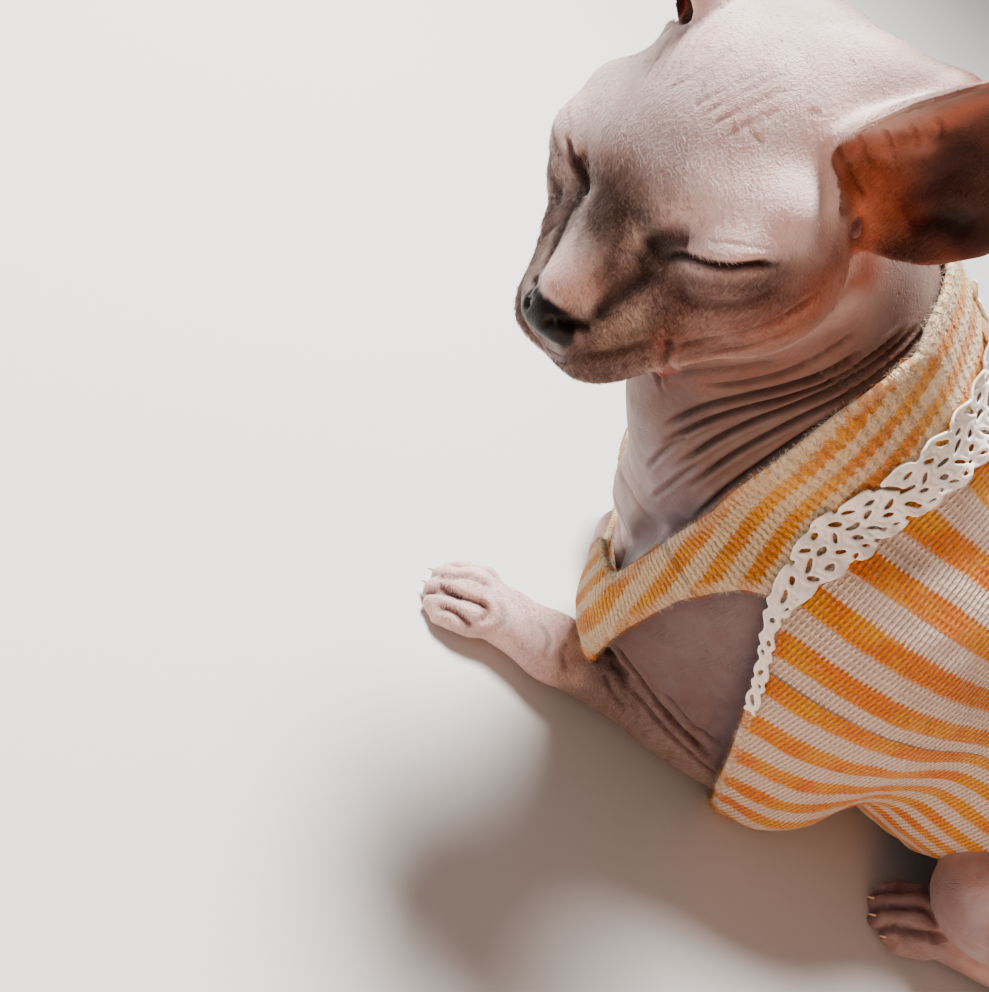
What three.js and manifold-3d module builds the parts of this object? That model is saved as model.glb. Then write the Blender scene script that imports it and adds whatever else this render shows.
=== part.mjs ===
// Sphynx cat lying on its chest, head up and turned to its left, eyes shut, in a knitted vest.
// Millimetres, +Z up. The cat faces -Y, its left side is +X, and the floor is at z = 0.
import * as THREE from 'three';
import { mergeVertices } from 'three/addons/utils/BufferGeometryUtils.js';
import Module from 'manifold-3d';

const wasm = await Module();
wasm.setup();

// Driving sizes and places, as [left, back, up]
const GAP = 0.34; // clear space between touching nodes
const FLOOR = 0;
const WORLD_SIZE = 900; // edge of the blocks that cut along a plane

const HEAD_SCALE = 0.95;
const HEAD_AT = [58, 34, 174]; // midpoint between the eyes
const HEAD_TURN = 59; // degrees to the cat's left
const HEAD_NOD = 25; // degrees down
const HEAD_TILT = 16; // degrees, left side up
const EYE_SPREAD = 20.5; // middle of an eye from the middle of the head

const MOUTH_SWEEP = 1.4; // half the angle that the line of the mouth goes round the muzzle
const MOUTH_UP = -34;
const MOUTH_RISE = 0.12;
const MOUTH_GROOVE = 0.9; // radius of the groove between the lips
const LID_SLIT = 0.75; // radius of the groove between the lids
const LID_SLIT_HEIGHT = 0.3;
const LID_RADII = [12.5, 10.5, 8];
const EYE_SLANT = 23; // degrees
const NOSTRIL = 1.3;
const LID_FORWARD = 1; // how far before the eye's middle the lids' middle lies

// Ears in the head's own frame: left, forward, up. The left ear is swung down, the right one stands
const EARS = [
  { name: 'ear_left', side: 1, root: [25.5, -28, 2.5], axis: [0.73, -0.3, 0.55], opening: [0.62, 0.78, -0.1] },
  { name: 'ear_right', side: -1, root: [-19.5, -26, 17], axis: [-0.5, -0.3, 0.7], opening: [-0.62, 0.78, -0.1] },
];
const EAR_HEIGHT = 62;
const EAR_HALF_WIDTH = 19.5;
const EAR_DEPTH = 9; // how far the back of the ear lies behind its root
const EAR_THICK = [3, 1.5]; // at the root and at the rim
const COLLAR_CUT = { at: [0, 112, 104], towards: [0, 0.993, -0.117] }; // where neck meets torso

const SPINE_FRONT = [0, 152, 84];
const SPINE_REAR = [0, 350, 74];
const CHEST_HALF_WIDTH = 41;
const BELLY_HALF_WIDTH = 46;
const RUMP_HALF_WIDTH = 45;

const SHOULDER = [31, 134, 84];
const ELBOW = [44, 192, 22];
const UPPER_ARM_RADII = [25, 17];
const FOREARM_RADII = [14.5, 10.6];
const WRIST = [41, 106, 12];
const FOREPAW = [38, 74, 9];
const TUCKED_ELBOW = [44, 190, 21];
const TUCKED_WRIST = [26, 122, 12];
const TUCKED_PAW = [2, 139, 9];

const HIP = [26, 344, 76];
const KNEE = [55, 280, 40];
const HOCK = [55, 367, 14];
const HIND_PAW = [58, 272, 9];
const THIGH_RADII = [36, 23];
const SHANK_RADII = [20, 9];
const METATARSUS_RADII = [10.5, 9];

const TOE_RADIUS = 5.4;
const TAIL_RADII = [14, 3.6];
const TAIL_LENGTHS = 4;
const TAIL_ROUTE = [
  [0, 372, 66], [-6, 408, 44], [-30, 428, 17], [-64, 420, 9],
  [-92, 388, 7.5], [-103, 340, 6.5], [-101, 292, 5.5], [-92, 252, 4.4],
];

const VEST_CLEAR = 1.8; // air between the skin and the knit
const VEST_THICK = 2.4;
const VEST_HEM = 262; // how far back the vest reaches
const VEST_LOWEST = 2.5;
const LACE_THICK = 1.6;
const LACE_WIDTH = 17;

const COLOURS = {
  skin: 0xc9aca2,
  face: 0xc7a79c,
  ear: 0xc98f7c,
  nose: 0x2b2324,
  lid: 0xa88d8a,
  leg: 0xb39a8c,
  paw: 0xddb6a8,
  knit: 0xe59a35,
  lace: 0xf1eae2,
};

// Small vector helpers on plain arrays
const add = (a, b) => [a[0] + b[0], a[1] + b[1], a[2] + b[2]];
const sub = (a, b) => [a[0] - b[0], a[1] - b[1], a[2] - b[2]];
const mul = (a, s) => [a[0] * s, a[1] * s, a[2] * s];
const dot = (a, b) => a[0] * b[0] + a[1] * b[1] + a[2] * b[2];
const cross = (a, b) => [
  a[1] * b[2] - a[2] * b[1],
  a[2] * b[0] - a[0] * b[2],
  a[0] * b[1] - a[1] * b[0],
];
const unit = (a) => mul(a, 1 / Math.hypot(...a));
const mix = (a, b, t) => add(mul(a, 1 - t), mul(b, t));
const lerp = (a, b, t) => a + (b - a) * t;
const clamp = (t, low = 0, high = 1) => Math.min(high, Math.max(low, t));
const mirrored = (a) => [-a[0], a[1], a[2]];
const onSide = (a, side) => [a[0] * side, a[1], a[2]];
const curveThrough = (points) => new THREE.CatmullRomCurve3(points.map((p) => new THREE.Vector3(...p)));

// Rounded forms, each a function that gives the rough distance from a point, below zero inside
const egg = (centre, radii) => (p) => {
  const q = sub(p, centre);
  const near = Math.hypot(q[0] / radii[0], q[1] / radii[1], q[2] / radii[2]);
  const slope = Math.hypot(q[0] / radii[0] ** 2, q[1] / radii[1] ** 2, q[2] / radii[2] ** 2);
  return near < 1e-6 ? -Math.min(...radii) : (near * (near - 1)) / slope;
};

const bone = (from, to, radiusFrom, radiusTo) => {
  const along = sub(to, from);
  const lengthSquared = dot(along, along);
  return (p) => {
    const t = clamp(dot(sub(p, from), along) / lengthSquared);
    return Math.hypot(...sub(p, add(from, mul(along, t)))) - lerp(radiusFrom, radiusTo, t);
  };
};

const blend = (reach, ...forms) => (p) => forms.reduce((sum, form) => {
  const d = form(p);
  if (sum === null) return d;
  const h = Math.max(reach - Math.abs(sum - d), 0) / reach;
  return Math.min(sum, d) - h * h * reach * 0.25;
}, null);

// The head's own frame: origin between the eyes, x left, y back, z up, in full-grown millimetres
const headTurn = new THREE.Matrix4().makeRotationFromEuler(new THREE.Euler(
  THREE.MathUtils.degToRad(HEAD_NOD),
  THREE.MathUtils.degToRad(-HEAD_TILT),
  THREE.MathUtils.degToRad(HEAD_TURN),
  'ZXY',
));
const headAxes = [0, 1, 2].map((i) => headTurn.elements.slice(4 * i, 4 * i + 3));
const headDirection = (left, forward, up) => unit(
  add(add(mul(headAxes[0], left), mul(headAxes[1], -forward)), mul(headAxes[2], up)),
);
const headPoint = (left, forward, up) => add(HEAD_AT, mul(
  add(add(mul(headAxes[0], left), mul(headAxes[1], -forward)), mul(headAxes[2], up)),
  HEAD_SCALE,
));
const toHead = (p) => {
  const q = mul(sub(p, HEAD_AT), 1 / HEAD_SCALE);
  return headAxes.map((axis) => dot(q, axis));
};
const at = (left, forward, up) => [left, -forward, up];
const inHead = (form) => (p) => form(toHead(p)) * HEAD_SCALE;

const turnedFor = (side, triangles) => (side < 0 ? triangles.map(([a, b, c]) => [a, c, b]) : triangles);
const bothSides = (make) => [1, -1].map(make);

const headForm = inHead(blend(
  8,
  egg(at(0, -28, 8), [29, 33, 25]),
  egg(at(0, -9, 6), [22, 19, 15]),
  egg(at(0, 1, -14), [18, 20, 17]),
  ...bothSides((s) => bone(at(s * 12, -36, 20), at(s * 24, -34, 12), 9, 10)),
  bone(at(22, -40, 21), at(36, -46, 24), 9, 5.5),
  bone(at(0, 4, 3), at(0, 25, -13), 9, 6.8),
  egg(at(0, 15, -26), [13, 14, 11]),
  egg(at(0, 16, -37), [9, 10, 7]),
  bone(at(0, 10, -35), at(0, -26, -28), 9, 15),
  ...bothSides((s) => bone(at(s * 9, 4, 6), at(s * 26, -8, 8), 6, 7)),
  ...bothSides((s) => egg(at(s * 24, -9, -9), [13, 19, 12])),
  ...bothSides((s) => egg(at(s * 20, -18, -20), [16, 22, 18])),
  ...bothSides((s) => egg(at(s * 14, 4, -20), [12, 16, 15])),
  ...bothSides((s) => egg(at(s * 8, 20, -26), [9, 12, 9.5])),
  ...bothSides((s) => egg(at(s * EYE_SPREAD, -4, -1), [11, 9.5, 10])),
));

// Trunk, neck and legs
const torsoForm = blend(
  16,
  egg([0, 162, 86], [CHEST_HALF_WIDTH, 66, 64]),
  egg([0, 138, 58], [34, 34, 46]),
  egg([0, 236, 76], [BELLY_HALF_WIDTH - 2, 84, 57]),
  egg([0, 262, 46], [BELLY_HALF_WIDTH, 66, 38]),
  egg([0, 334, 76], [RUMP_HALF_WIDTH, 58, 50]),
  egg([0, 372, 62], [30, 30, 34]),
  ...bothSides((s) => bone([s * 15, 150, 140], [s * 22, 176, 118], 14, 16)),
);

const neckForm = blend(
  14,
  bone([26, 58, 176], [2, 126, 126], 26, 41),
  bone([20, 70, 144], [2, 132, 72], 22, 35),
);

const upperArmForm = (side) => blend(
  12,
  bone(onSide(SHOULDER, side), onSide(ELBOW, side), ...UPPER_ARM_RADII),
  egg(onSide([37, 146, 74], side), [17, 26, 34]),
  egg(onSide([35, 122, 60], side), [16, 24, 26]),
  bone(onSide([45, 112, 47], side), onSide([46, 150, 29], side), 8.5, 9.5),
);

const forearmForm = (elbow, wrist) => blend(
  8,
  bone(elbow, wrist, ...FOREARM_RADII),
  bone(add(elbow, [0, 4, -2]), mix(elbow, wrist, 0.45), 15.5, 13.4),
);

// A paw lies flat and points from its heel to its toes
const pawForm = (heel, ball, heelRadius) => {
  const forward = unit(sub([ball[0], ball[1], 0], [heel[0], heel[1], 0]));
  const across = [-forward[1], forward[0], 0];
  const toes = [-1.5, -0.5, 0.5, 1.5].map((place) => {
    const reach = 13 - 2.2 * place * place;
    const root = add(ball, add(mul(across, place * 5.6), mul(forward, -3)));
    const tip = add(ball, add(mul(across, place * 6.3), mul(forward, reach)));
    return bone([root[0], root[1], 8], [tip[0], tip[1], 4.6], TOE_RADIUS, TOE_RADIUS - 0.5);
  });
  const knuckles = blend(2.2, ...toes);
  return blend(5, bone(heel, ball, heelRadius, 9.5), knuckles);
};

const thighForm = (side) => blend(
  14,
  bone(onSide(HIP, side), onSide(KNEE, side), ...THIGH_RADII),
  egg(onSide(add(HIP, [12, -16, -10]), side), [27, 50, 44]),
);
const shankForm = (side) => bone(onSide(KNEE, side), onSide(HOCK, side), ...SHANK_RADII);
const hindFootForm = (side) => pawForm(onSide(HOCK, side), onSide(HIND_PAW, side), METATARSUS_RADII[0]);

// Meshes: every vertex has the point it is seen from and the way it is pushed out onto a form
const surfaceDistance = (from, direction, form, offset, reach) => {
  let near = 0;
  let far = 0;
  while (far < reach && form(add(from, mul(direction, far))) < offset) {
    near = far;
    far += Math.max(0.6, (offset - form(add(from, mul(direction, far)))) * 0.6);
  }
  if (far >= reach) return reach;
  for (let i = 0; i < 22; i += 1) {
    const middle = (near + far) / 2;
    if (form(add(from, mul(direction, middle))) < offset) near = middle;
    else far = middle;
  }
  return (near + far) / 2;
};

const cleanGeometry = (geometry) => {
  geometry.deleteAttribute('normal');
  geometry.deleteAttribute('uv');
  return mergeVertices(geometry, 1e-4);
};

const trianglesOf = (geometry) => {
  const index = geometry.getIndex().array;
  const triangles = [];
  for (let i = 0; i < index.length; i += 3) triangles.push([index[i], index[i + 1], index[i + 2]]);
  return triangles;
};

const pointsOf = (geometry) => {
  const { array } = geometry.getAttribute('position');
  const points = [];
  for (let i = 0; i < array.length; i += 3) points.push([array[i], array[i + 1], array[i + 2]]);
  return points;
};

// A round body seen from one point inside
const roundBody = (centre, detail) => {
  const geometry = cleanGeometry(new THREE.IcosahedronGeometry(1, detail));
  return {
    vertices: pointsOf(geometry).map((p) => ({ from: centre, towards: unit(p) })),
    triangles: trianglesOf(geometry),
  };
};

// A long body seen from points along a curve, with round ends
const longBody = (curve, steps, sides, reference, endSteps = 4) => {
  const geometry = cleanGeometry(new THREE.CapsuleGeometry(1, 2, endSteps, sides, steps));
  const vertices = pointsOf(geometry).map(([x, y, z]) => {
    const t = clamp((y + 1) / 2);
    const from = curve.getPointAt(t).toArray();
    const along = curve.getTangentAt(t).toArray();
    const side = unit(cross(reference, along));
    const up = cross(along, side);
    const beyond = y > 1 ? y - 1 : Math.min(0, y + 1);
    return { from, towards: unit(add(add(mul(side, z), mul(up, x)), mul(along, beyond))) };
  });
  return { vertices, triangles: trianglesOf(geometry) };
};

const pushedOut = (body, form, offset, reach) => body.vertices.map(({ from, towards }) => add(
  from,
  mul(towards, surfaceDistance(from, towards, form, offset, reach)),
));

// Splits each edge that is longer than what is wanted at its middle, alike on both its triangles
const refined = (body, form, reach, wanted, rounds) => {
  const vertices = [...body.vertices];
  let { triangles } = body;
  for (let round = 0; round < rounds; round += 1) {
    const points = pushedOut({ vertices }, form, 0, reach);
    const middles = new Map();
    const key = (a, b) => (a < b ? `${a},${b}` : `${b},${a}`);
    const middleOf = (a, b) => middles.get(key(a, b));
    const lengthOf = (a, b) => Math.hypot(...sub(points[a], points[b]));
    triangles.forEach((triangle) => triangle.forEach((a, i) => {
      const b = triangle[(i + 1) % 3];
      if (middles.has(key(a, b))) return;
      if (lengthOf(a, b) <= wanted(mix(points[a], points[b], 0.5))) return;
      middles.set(key(a, b), vertices.length);
      vertices.push({
        from: mix(vertices[a].from, vertices[b].from, 0.5),
        towards: unit(add(vertices[a].towards, vertices[b].towards)),
      });
    }));
    if (middles.size === 0) break;
    triangles = triangles.flatMap((triangle) => splitTriangle(triangle, middleOf));
  }
  return { vertices, triangles };
};

const splitTriangle = (triangle, middleOf) => {
  const middles = triangle.map((a, i) => middleOf(a, triangle[(i + 1) % 3]));
  const count = middles.filter((m) => m !== undefined).length;
  if (count === 0) return [triangle];
  if (count === 3) {
    const [a, b, c] = triangle;
    const [ab, bc, ca] = middles;
    return [[a, ab, ca], [ab, b, bc], [ca, bc, c], [ab, bc, ca]];
  }
  const start = count === 1
    ? middles.findIndex((m) => m !== undefined)
    : (middles.findIndex((m) => m === undefined) + 1) % 3;
  const [a, b, c] = [0, 1, 2].map((i) => triangle[(start + i) % 3]);
  const ab = middles[start];
  if (count === 1) return [[a, ab, c], [ab, b, c]];
  const bc = middles[(start + 1) % 3];
  return [[ab, b, bc], [a, ab, bc], [a, bc, c]];
};

// Solids
const solidOf = (points, triangles) => new wasm.Manifold(new wasm.Mesh({
  numProp: 3,
  vertProperties: Float32Array.from(points.flat()),
  triVerts: Uint32Array.from(triangles.flat()),
}));

const solidFrom = (body, form, reach, offset = 0) => solidOf(
  pushedOut(body, form, offset, reach),
  body.triangles,
);

const geometrySolid = (geometry) => {
  const clean = cleanGeometry(geometry);
  return solidOf(pointsOf(clean), trianglesOf(clean));
};

// A thin round rope through given points, used to cut grooves
const ropeSolid = (points, radius, steps, sides = 6) => {
  const body = longBody(curveThrough(points), steps, sides, [0.1, 0.2, 1], 2);
  return solidOf(body.vertices.map(({ from, towards }) => add(from, mul(towards, radius))), body.triangles);
};

const largest = (solid) => solid.decompose().reduce((a, b) => (b.volume() > a.volume() ? b : a));

// The block that fills one side of a plane
const halfSpace = (point, towards, clear) => {
  const geometry = new THREE.BoxGeometry(WORLD_SIZE, WORLD_SIZE, WORLD_SIZE);
  geometry.translate(0, 0, WORLD_SIZE / 2 + clear);
  const normal = new THREE.Vector3(...unit(towards));
  geometry.applyQuaternion(new THREE.Quaternion().setFromUnitVectors(new THREE.Vector3(0, 0, 1), normal));
  geometry.translate(...point);
  return geometrySolid(geometry);
};

const aboveFloor = halfSpace([0, 0, FLOOR], [0, 0, 1], 0);
const beyond = (solid, cut) => solid.intersect(halfSpace(cut.at, cut.towards, GAP / 2));
const before = (solid, cut) => solid.intersect(halfSpace(cut.at, mul(cut.towards, -1), GAP / 2));

// Nodes
const nodes = [];
const addNode = (name, solid, colour, roughness) => nodes.push({ name, solid: largest(solid), colour, roughness });

// Head
const headBody = refined(
  roundBody(headPoint(0, -14, -6), 4),
  headForm,
  90,
  (p) => {
    const [left, back, up] = toHead(p);
    const face = Math.hypot(left / 34, (back + 14) / 34, (up + 12) / 34);
    return lerp(3.6, 9, clamp(face - 0.6));
  },
  3,
);
const onHead = (from, towards) => {
  const start = headPoint(...from);
  const aim = headDirection(...towards);
  return add(start, mul(aim, surfaceDistance(start, aim, headForm, 0, 60)));
};
const mouthLine = ropeSolid(
  [-1, -0.8, -0.6, -0.4, -0.2, 0, 0.2, 0.4, 0.6, 0.8, 1].map((t) => {
    const angle = t * MOUTH_SWEEP;
    return onHead([0, 6, MOUTH_UP], [Math.sin(angle), Math.cos(angle), MOUTH_RISE * Math.sin(angle) ** 2]);
  }),
  MOUTH_GROOVE,
  24,
);
const philtrum = ropeSolid(
  [[0, 30, -23], [0, 32, -27], [0, 30, -31]].map(([, forward, up]) => onHead([0, 8, up], [0, forward, 0])),
  MOUTH_GROOVE * 0.8,
  6,
);
// Ears: a box bent into a funnel that opens into a cup, thin at the rim. A filled one has its hollow
// closed straight across between the rims, and takes its place out of the head.
const earSolid = ({ side, root, axis, opening }, filled) => {
  const from = headPoint(...root);
  const along = headDirection(...axis);
  const front = headDirection(...opening);
  const facing = unit(sub(front, mul(along, dot(front, along))));
  const across = mul(cross(along, facing), side);
  const clear = filled ? GAP : 0;
  const geometry = cleanGeometry(new THREE.BoxGeometry(2, 1, 1, 10, 8, 1));
  const points = pointsOf(geometry).map(([x, y, z]) => {
    const v = Math.sin((y + 0.5) * Math.PI / 2);
    const spread = lerp(0.56, 1, Math.sin(clamp(v / 0.4) * Math.PI / 2));
    const halfWidth = EAR_HALF_WIDTH * Math.max(0, 1 - v ** 2.2) ** 0.62 * spread + 1.8;
    const bend = lerp(Math.PI / 2, 0.6, v ** 0.8);
    const radius = halfWidth / Math.sin(bend);
    const angle = x * bend;
    const outer = radius + lerp(EAR_THICK[0], EAR_THICK[1], Math.max(Math.abs(x), v)) + clear;
    const reach = z > 0 ? outer : radius;
    const back = z < 0 && filled ? Math.cos(bend) * radius : Math.cos(angle) * reach;
    return add(add(from, mul(along, EAR_HEIGHT * v - clear)), add(
      mul(facing, radius - EAR_DEPTH - back),
      mul(across, Math.sin(angle) * reach),
    ));
  });
  return solidOf(points, turnedFor(-side, trianglesOf(geometry)));
};
EARS.forEach((ear) => addNode(ear.name, earSolid(ear, false), COLOURS.ear, 0.6));

const headGrown = solidFrom(headBody, headForm, 90, GAP);
const headCuts = [mouthLine, philtrum, ...EARS.map((ear) => earSolid(ear, true))];
const head = headCuts.reduce((solid, cut) => solid.subtract(cut), solidFrom(headBody, headForm, 90));

// Nose leather
const noseForm = inHead(blend(
  2.5,
  egg(at(0, 31.5, -18), [6.8, 4.2, 5]),
  ...bothSides((s) => egg(at(s * 4.6, 29.8, -19.5), [3.4, 4, 3.2])),
));
const noseBody = roundBody(headPoint(0, 30.5, -19), 3);
const nostrils = bothSides((s) => ropeSolid(
  [headPoint(s * 2.4, 35.4, -18.4), headPoint(s * 4.6, 33.6, -17.4), headPoint(s * 7.4, 31.4, -18.6)],
  NOSTRIL,
  5,
));
const noseWhole = solidFrom(noseBody, noseForm, 20).subtract(headGrown);
addNode('nose', noseWhole.subtract(nostrils[0]).subtract(nostrils[1]), COLOURS.nose, 0.45);

// Shut eyes, their outer ends higher than the inner ones
const slant = THREE.MathUtils.degToRad(EYE_SLANT);
bothSides((side) => {
  const middle = at(side * EYE_SPREAD, LID_FORWARD, 0);
  const unslanted = (p) => {
    const [left, back, up] = sub(p, middle);
    const out = left * side;
    return [out * Math.cos(slant) + up * Math.sin(slant), back, up * Math.cos(slant) - out * Math.sin(slant)];
  };
  const lidEgg = egg([0, 0, 0], LID_RADII);
  const lidForm = inHead((p) => lidEgg(unslanted(p)));
  const centre = headPoint(side * EYE_SPREAD, LID_FORWARD, 0);
  const lid = solidFrom(roundBody(centre, 3), lidForm, 30);
  const slit = ropeSolid([-1.2, -0.8, -0.4, 0, 0.4, 0.8, 1.2].map((angle) => {
    const out = Math.sin(angle);
    const up = LID_SLIT_HEIGHT * Math.cos(angle);
    const aim = headDirection(
      side * (out * Math.cos(slant) - up * Math.sin(slant)),
      Math.cos(angle),
      out * Math.sin(slant) + up * Math.cos(slant),
    );
    return add(centre, mul(aim, surfaceDistance(centre, aim, lidForm, 0, 30)));
  }), LID_SLIT, 12);
  addNode(side > 0 ? 'eye_left' : 'eye_right', lid.subtract(headGrown).subtract(slit), COLOURS.lid, 0.5);
  return side;
});
addNode('head', head, COLOURS.face, 0.55);

// Neck
const bodyForm = blend(12, torsoForm, neckForm);
const neckCurve = curveThrough([[34, 48, 180], [20, 68, 163], [6, 98, 126], [1, 132, 100]]);
const neckBody = longBody(neckCurve, 8, 18, [0, 0, 1], 3);
const neckWhole = solidFrom(neckBody, bodyForm, 95);
const neckGrown = solidFrom(neckBody, bodyForm, 95, GAP + 0.3);
addNode('neck', before(neckWhole, COLLAR_CUT).subtract(headGrown), COLOURS.skin, 0.55);

// Torso
const spine = curveThrough([SPINE_FRONT, mix(SPINE_FRONT, SPINE_REAR, 0.5), SPINE_REAR]);
const torsoBody = longBody(spine, 12, 22, [0, 0, 1], 5);
const torsoWhole = solidFrom(torsoBody, bodyForm, 100);
const torsoGrown = solidFrom(torsoBody, bodyForm, 100, GAP + 0.1);

// Forelegs
const legFrom = (a, b, form, steps, sides, reach, offset = 0) => solidFrom(
  longBody(curveThrough([a, mix(a, b, 0.5), b]), steps, sides, [0, 0, 1], 3),
  form,
  reach,
  offset,
);
const forelegs = [
  { side: 1, elbow: ELBOW, wrist: WRIST, paw: FOREPAW, name: 'left' },
  { side: -1, elbow: mirrored(TUCKED_ELBOW), wrist: mirrored(TUCKED_WRIST), paw: mirrored(TUCKED_PAW), name: 'right' },
];
let torso = beyond(torsoWhole, COLLAR_CUT);
const armForms = [];
const limbsGrown = [];
forelegs.forEach(({ side, elbow, wrist, paw, name }) => {
  const upper = upperArmForm(side);
  const fore = forearmForm(elbow, wrist);
  const hand = pawForm(wrist, paw, FOREARM_RADII[1]);
  armForms.push(upper);
  const upperSolid = legFrom(onSide(SHOULDER, side), onSide(ELBOW, side), blend(8, upper, fore), 4, 14, 60);
  limbsGrown.push(legFrom(onSide(SHOULDER, side), onSide(ELBOW, side), blend(8, upper, fore), 4, 14, 60, GAP));
  const foreSolid = legFrom(elbow, wrist, blend(6, fore, hand), 6, 12, 26);
  const foreGrown = legFrom(elbow, wrist, blend(6, fore, hand), 6, 12, 26, GAP);
  const pawCurve = [mix(wrist, paw, -0.1), paw];
  const pawSolid = legFrom(pawCurve[0], pawCurve[1], blend(6, hand, fore), 4, 20, 30);
  const pawGrown = legFrom(pawCurve[0], pawCurve[1], blend(6, hand, fore), 4, 20, 30, GAP);
  const wristCut = { at: mix(wrist, paw, 0.05), towards: sub(paw, wrist) };
  limbsGrown.push(foreGrown, pawGrown);
  torso = torso.subtract(foreGrown).subtract(pawGrown);
  const upperClear = upperSolid.subtract(torsoGrown).subtract(neckGrown).subtract(foreGrown);
  addNode(`upper_arm_${name}`, upperClear, COLOURS.skin, 0.55);
  addNode(`forearm_${name}`, before(foreSolid, wristCut), COLOURS.leg, 0.6);
  addNode(`forepaw_${name}`, beyond(pawSolid, wristCut), COLOURS.paw, 0.6);
});
addNode('torso', torso, COLOURS.skin, 0.55);

// Hind legs
bothSides((side) => {
  const name = side > 0 ? 'left' : 'right';
  const thigh = legFrom(onSide(HIP, side), onSide(KNEE, side), thighForm(side), 4, 16, 60);
  const thighGrown = legFrom(onSide(HIP, side), onSide(KNEE, side), thighForm(side), 4, 16, 60, GAP);
  const shank = legFrom(onSide(KNEE, side), onSide(HOCK, side), shankForm(side), 4, 12, 40);
  const footGrown = legFrom(onSide(HOCK, side), onSide(HIND_PAW, side), hindFootForm(side), 7, 16, 30, GAP);
  const foot = legFrom(onSide(HOCK, side), onSide(HIND_PAW, side), hindFootForm(side), 7, 16, 30);
  addNode(`thigh_${name}`, thigh.subtract(torsoGrown), COLOURS.skin, 0.55);
  addNode(`shank_${name}`, shank.subtract(torsoGrown).subtract(thighGrown).subtract(footGrown), COLOURS.skin, 0.55);
  addNode(`hind_foot_${name}`, foot.subtract(torsoGrown).subtract(thighGrown), COLOURS.paw, 0.6);
  return name;
});

// Tail, parted into lengths
const tailCurve = curveThrough(TAIL_ROUTE);
const tailForm = (() => {
  const steps = 40;
  const links = [];
  for (let i = 0; i < steps; i += 1) {
    const a = tailCurve.getPointAt(i / steps).toArray();
    const b = tailCurve.getPointAt((i + 1) / steps).toArray();
    const radius = (t) => lerp(...TAIL_RADII, t ** 0.75);
    links.push(bone(a, b, radius(i / steps), radius((i + 1) / steps)));
  }
  return (p) => Math.min(...links.map((link) => link(p)));
})();
const tailWhole = solidFrom(longBody(tailCurve, 34, 8, [0, 0, 1], 2), tailForm, 20);
for (let i = 0; i < TAIL_LENGTHS; i += 1) {
  const cutAt = (t) => ({ at: tailCurve.getPointAt(t).toArray(), towards: tailCurve.getTangentAt(t).toArray() });
  const start = i / TAIL_LENGTHS;
  const end = (i + 1) / TAIL_LENGTHS;
  const discRadius = TAIL_RADII[0] * 3;
  let piece = tailWhole;
  const disc = (t) => {
    const cut = cutAt(t);
    const geometry = new THREE.CylinderGeometry(discRadius, discRadius, GAP, 24);
    const normal = new THREE.Vector3(...cut.towards);
    geometry.applyQuaternion(new THREE.Quaternion().setFromUnitVectors(new THREE.Vector3(0, 1, 0), normal));
    geometry.translate(...cut.at);
    return geometrySolid(geometry);
  };
  if (i > 0) piece = piece.subtract(disc(start));
  if (i < TAIL_LENGTHS - 1) piece = piece.subtract(disc(end));
  const middle = tailCurve.getPointAt((start + end) / 2).toArray();
  const holding = piece.decompose().reduce((a, b) => (nearness(b, middle) < nearness(a, middle) ? b : a));
  addNode(`tail_${i + 1}`, i === 0 ? holding.subtract(torsoGrown) : holding, COLOURS.skin, 0.6);
}

function nearness(solid, point) {
  const { min, max } = solid.boundingBox();
  return Math.hypot(...sub(mix(min, max, 0.5), point));
}

// Vest: a knitted shell over trunk and upper arms, open at neck, armholes and hem
const sleeveForms = bothSides((s) => egg([s * 36, 164, 60], [30, 54, 60]));
const vestForm = blend(18, bodyForm, ...armForms, ...sleeveForms);
const vestBody = longBody(spine, 13, 24, [0, 0, 1], 5);
// Outlines of the openings: the neck's half from the front (side, up), the others from the side (back, up)
const NECK_HALF = [
  [0, 31], [12, 34], [20, 40], [29, 53], [36, 63], [41.5, 72], [44.5, 80], [45.8, 92], [46.4, 113], [48.5, 132],
  [49.5, 145], [47, 158], [41, 168], [20, 175], [0, 178],
];
const NECK_FRONT = [
  [59, -20], [61, 38], [98, 62], [100.5, 80], [104.2, 103], [104.6, 150], [109, 168], [119, 230], [60, 230],
];
const ARMHOLE = [
  [131, 101], [126, 101], [120, 96], [115.5, 89], [111, 78], [109, 68], [107, 56], [106.6, 49], [108, 39],
  [111.4, 29], [118, 16], [124, 4], [124.5, -20],
  [192, -20], [183, 6], [168.5, 28], [161, 43.5], [153, 58], [143, 77], [137, 89],
];
const NAPE = 119; // how far back the neck's opening reaches
const NECK_DEPTH = [
  [0, -20], [118, -20], [118.5, 90], [104.2, 103], [104.6, 150], [109.4, 168], [118, 177], [118.6, 230], [0, 230],
];
const outlineOf = (corners) => new THREE.Shape(corners.map(([x, y]) => new THREE.Vector2(x, y)));
const extruded = (corners, depth, from, axes) => {
  const geometry = new THREE.ExtrudeGeometry(outlineOf(corners), { depth, bevelEnabled: false });
  geometry.translate(0, 0, from);
  geometry.applyMatrix4(new THREE.Matrix4().makeBasis(...axes.map((axis) => new THREE.Vector3(...axis))));
  return geometrySolid(geometry);
};
const SIDEWAYS = [[0, 1, 0], [0, 0, 1], [1, 0, 0]];
const FORWARD = [[1, 0, 0], [0, 0, 1], [0, -1, 0]];
const farHalf = NECK_HALF.slice(1, -1).reverse().map(([x, z]) => [-x, z]);
const neckHole = extruded([...NECK_HALF, ...farHalf], NAPE, -NAPE, FORWARD)
  .intersect(extruded(NECK_DEPTH, 200, -100, SIDEWAYS));
const frontCut = extruded(NECK_FRONT, 200, -100, SIDEWAYS);
const armholeSolid = (side) => extruded(ARMHOLE, 100, side > 0 ? 12 : -112, SIDEWAYS);
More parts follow.
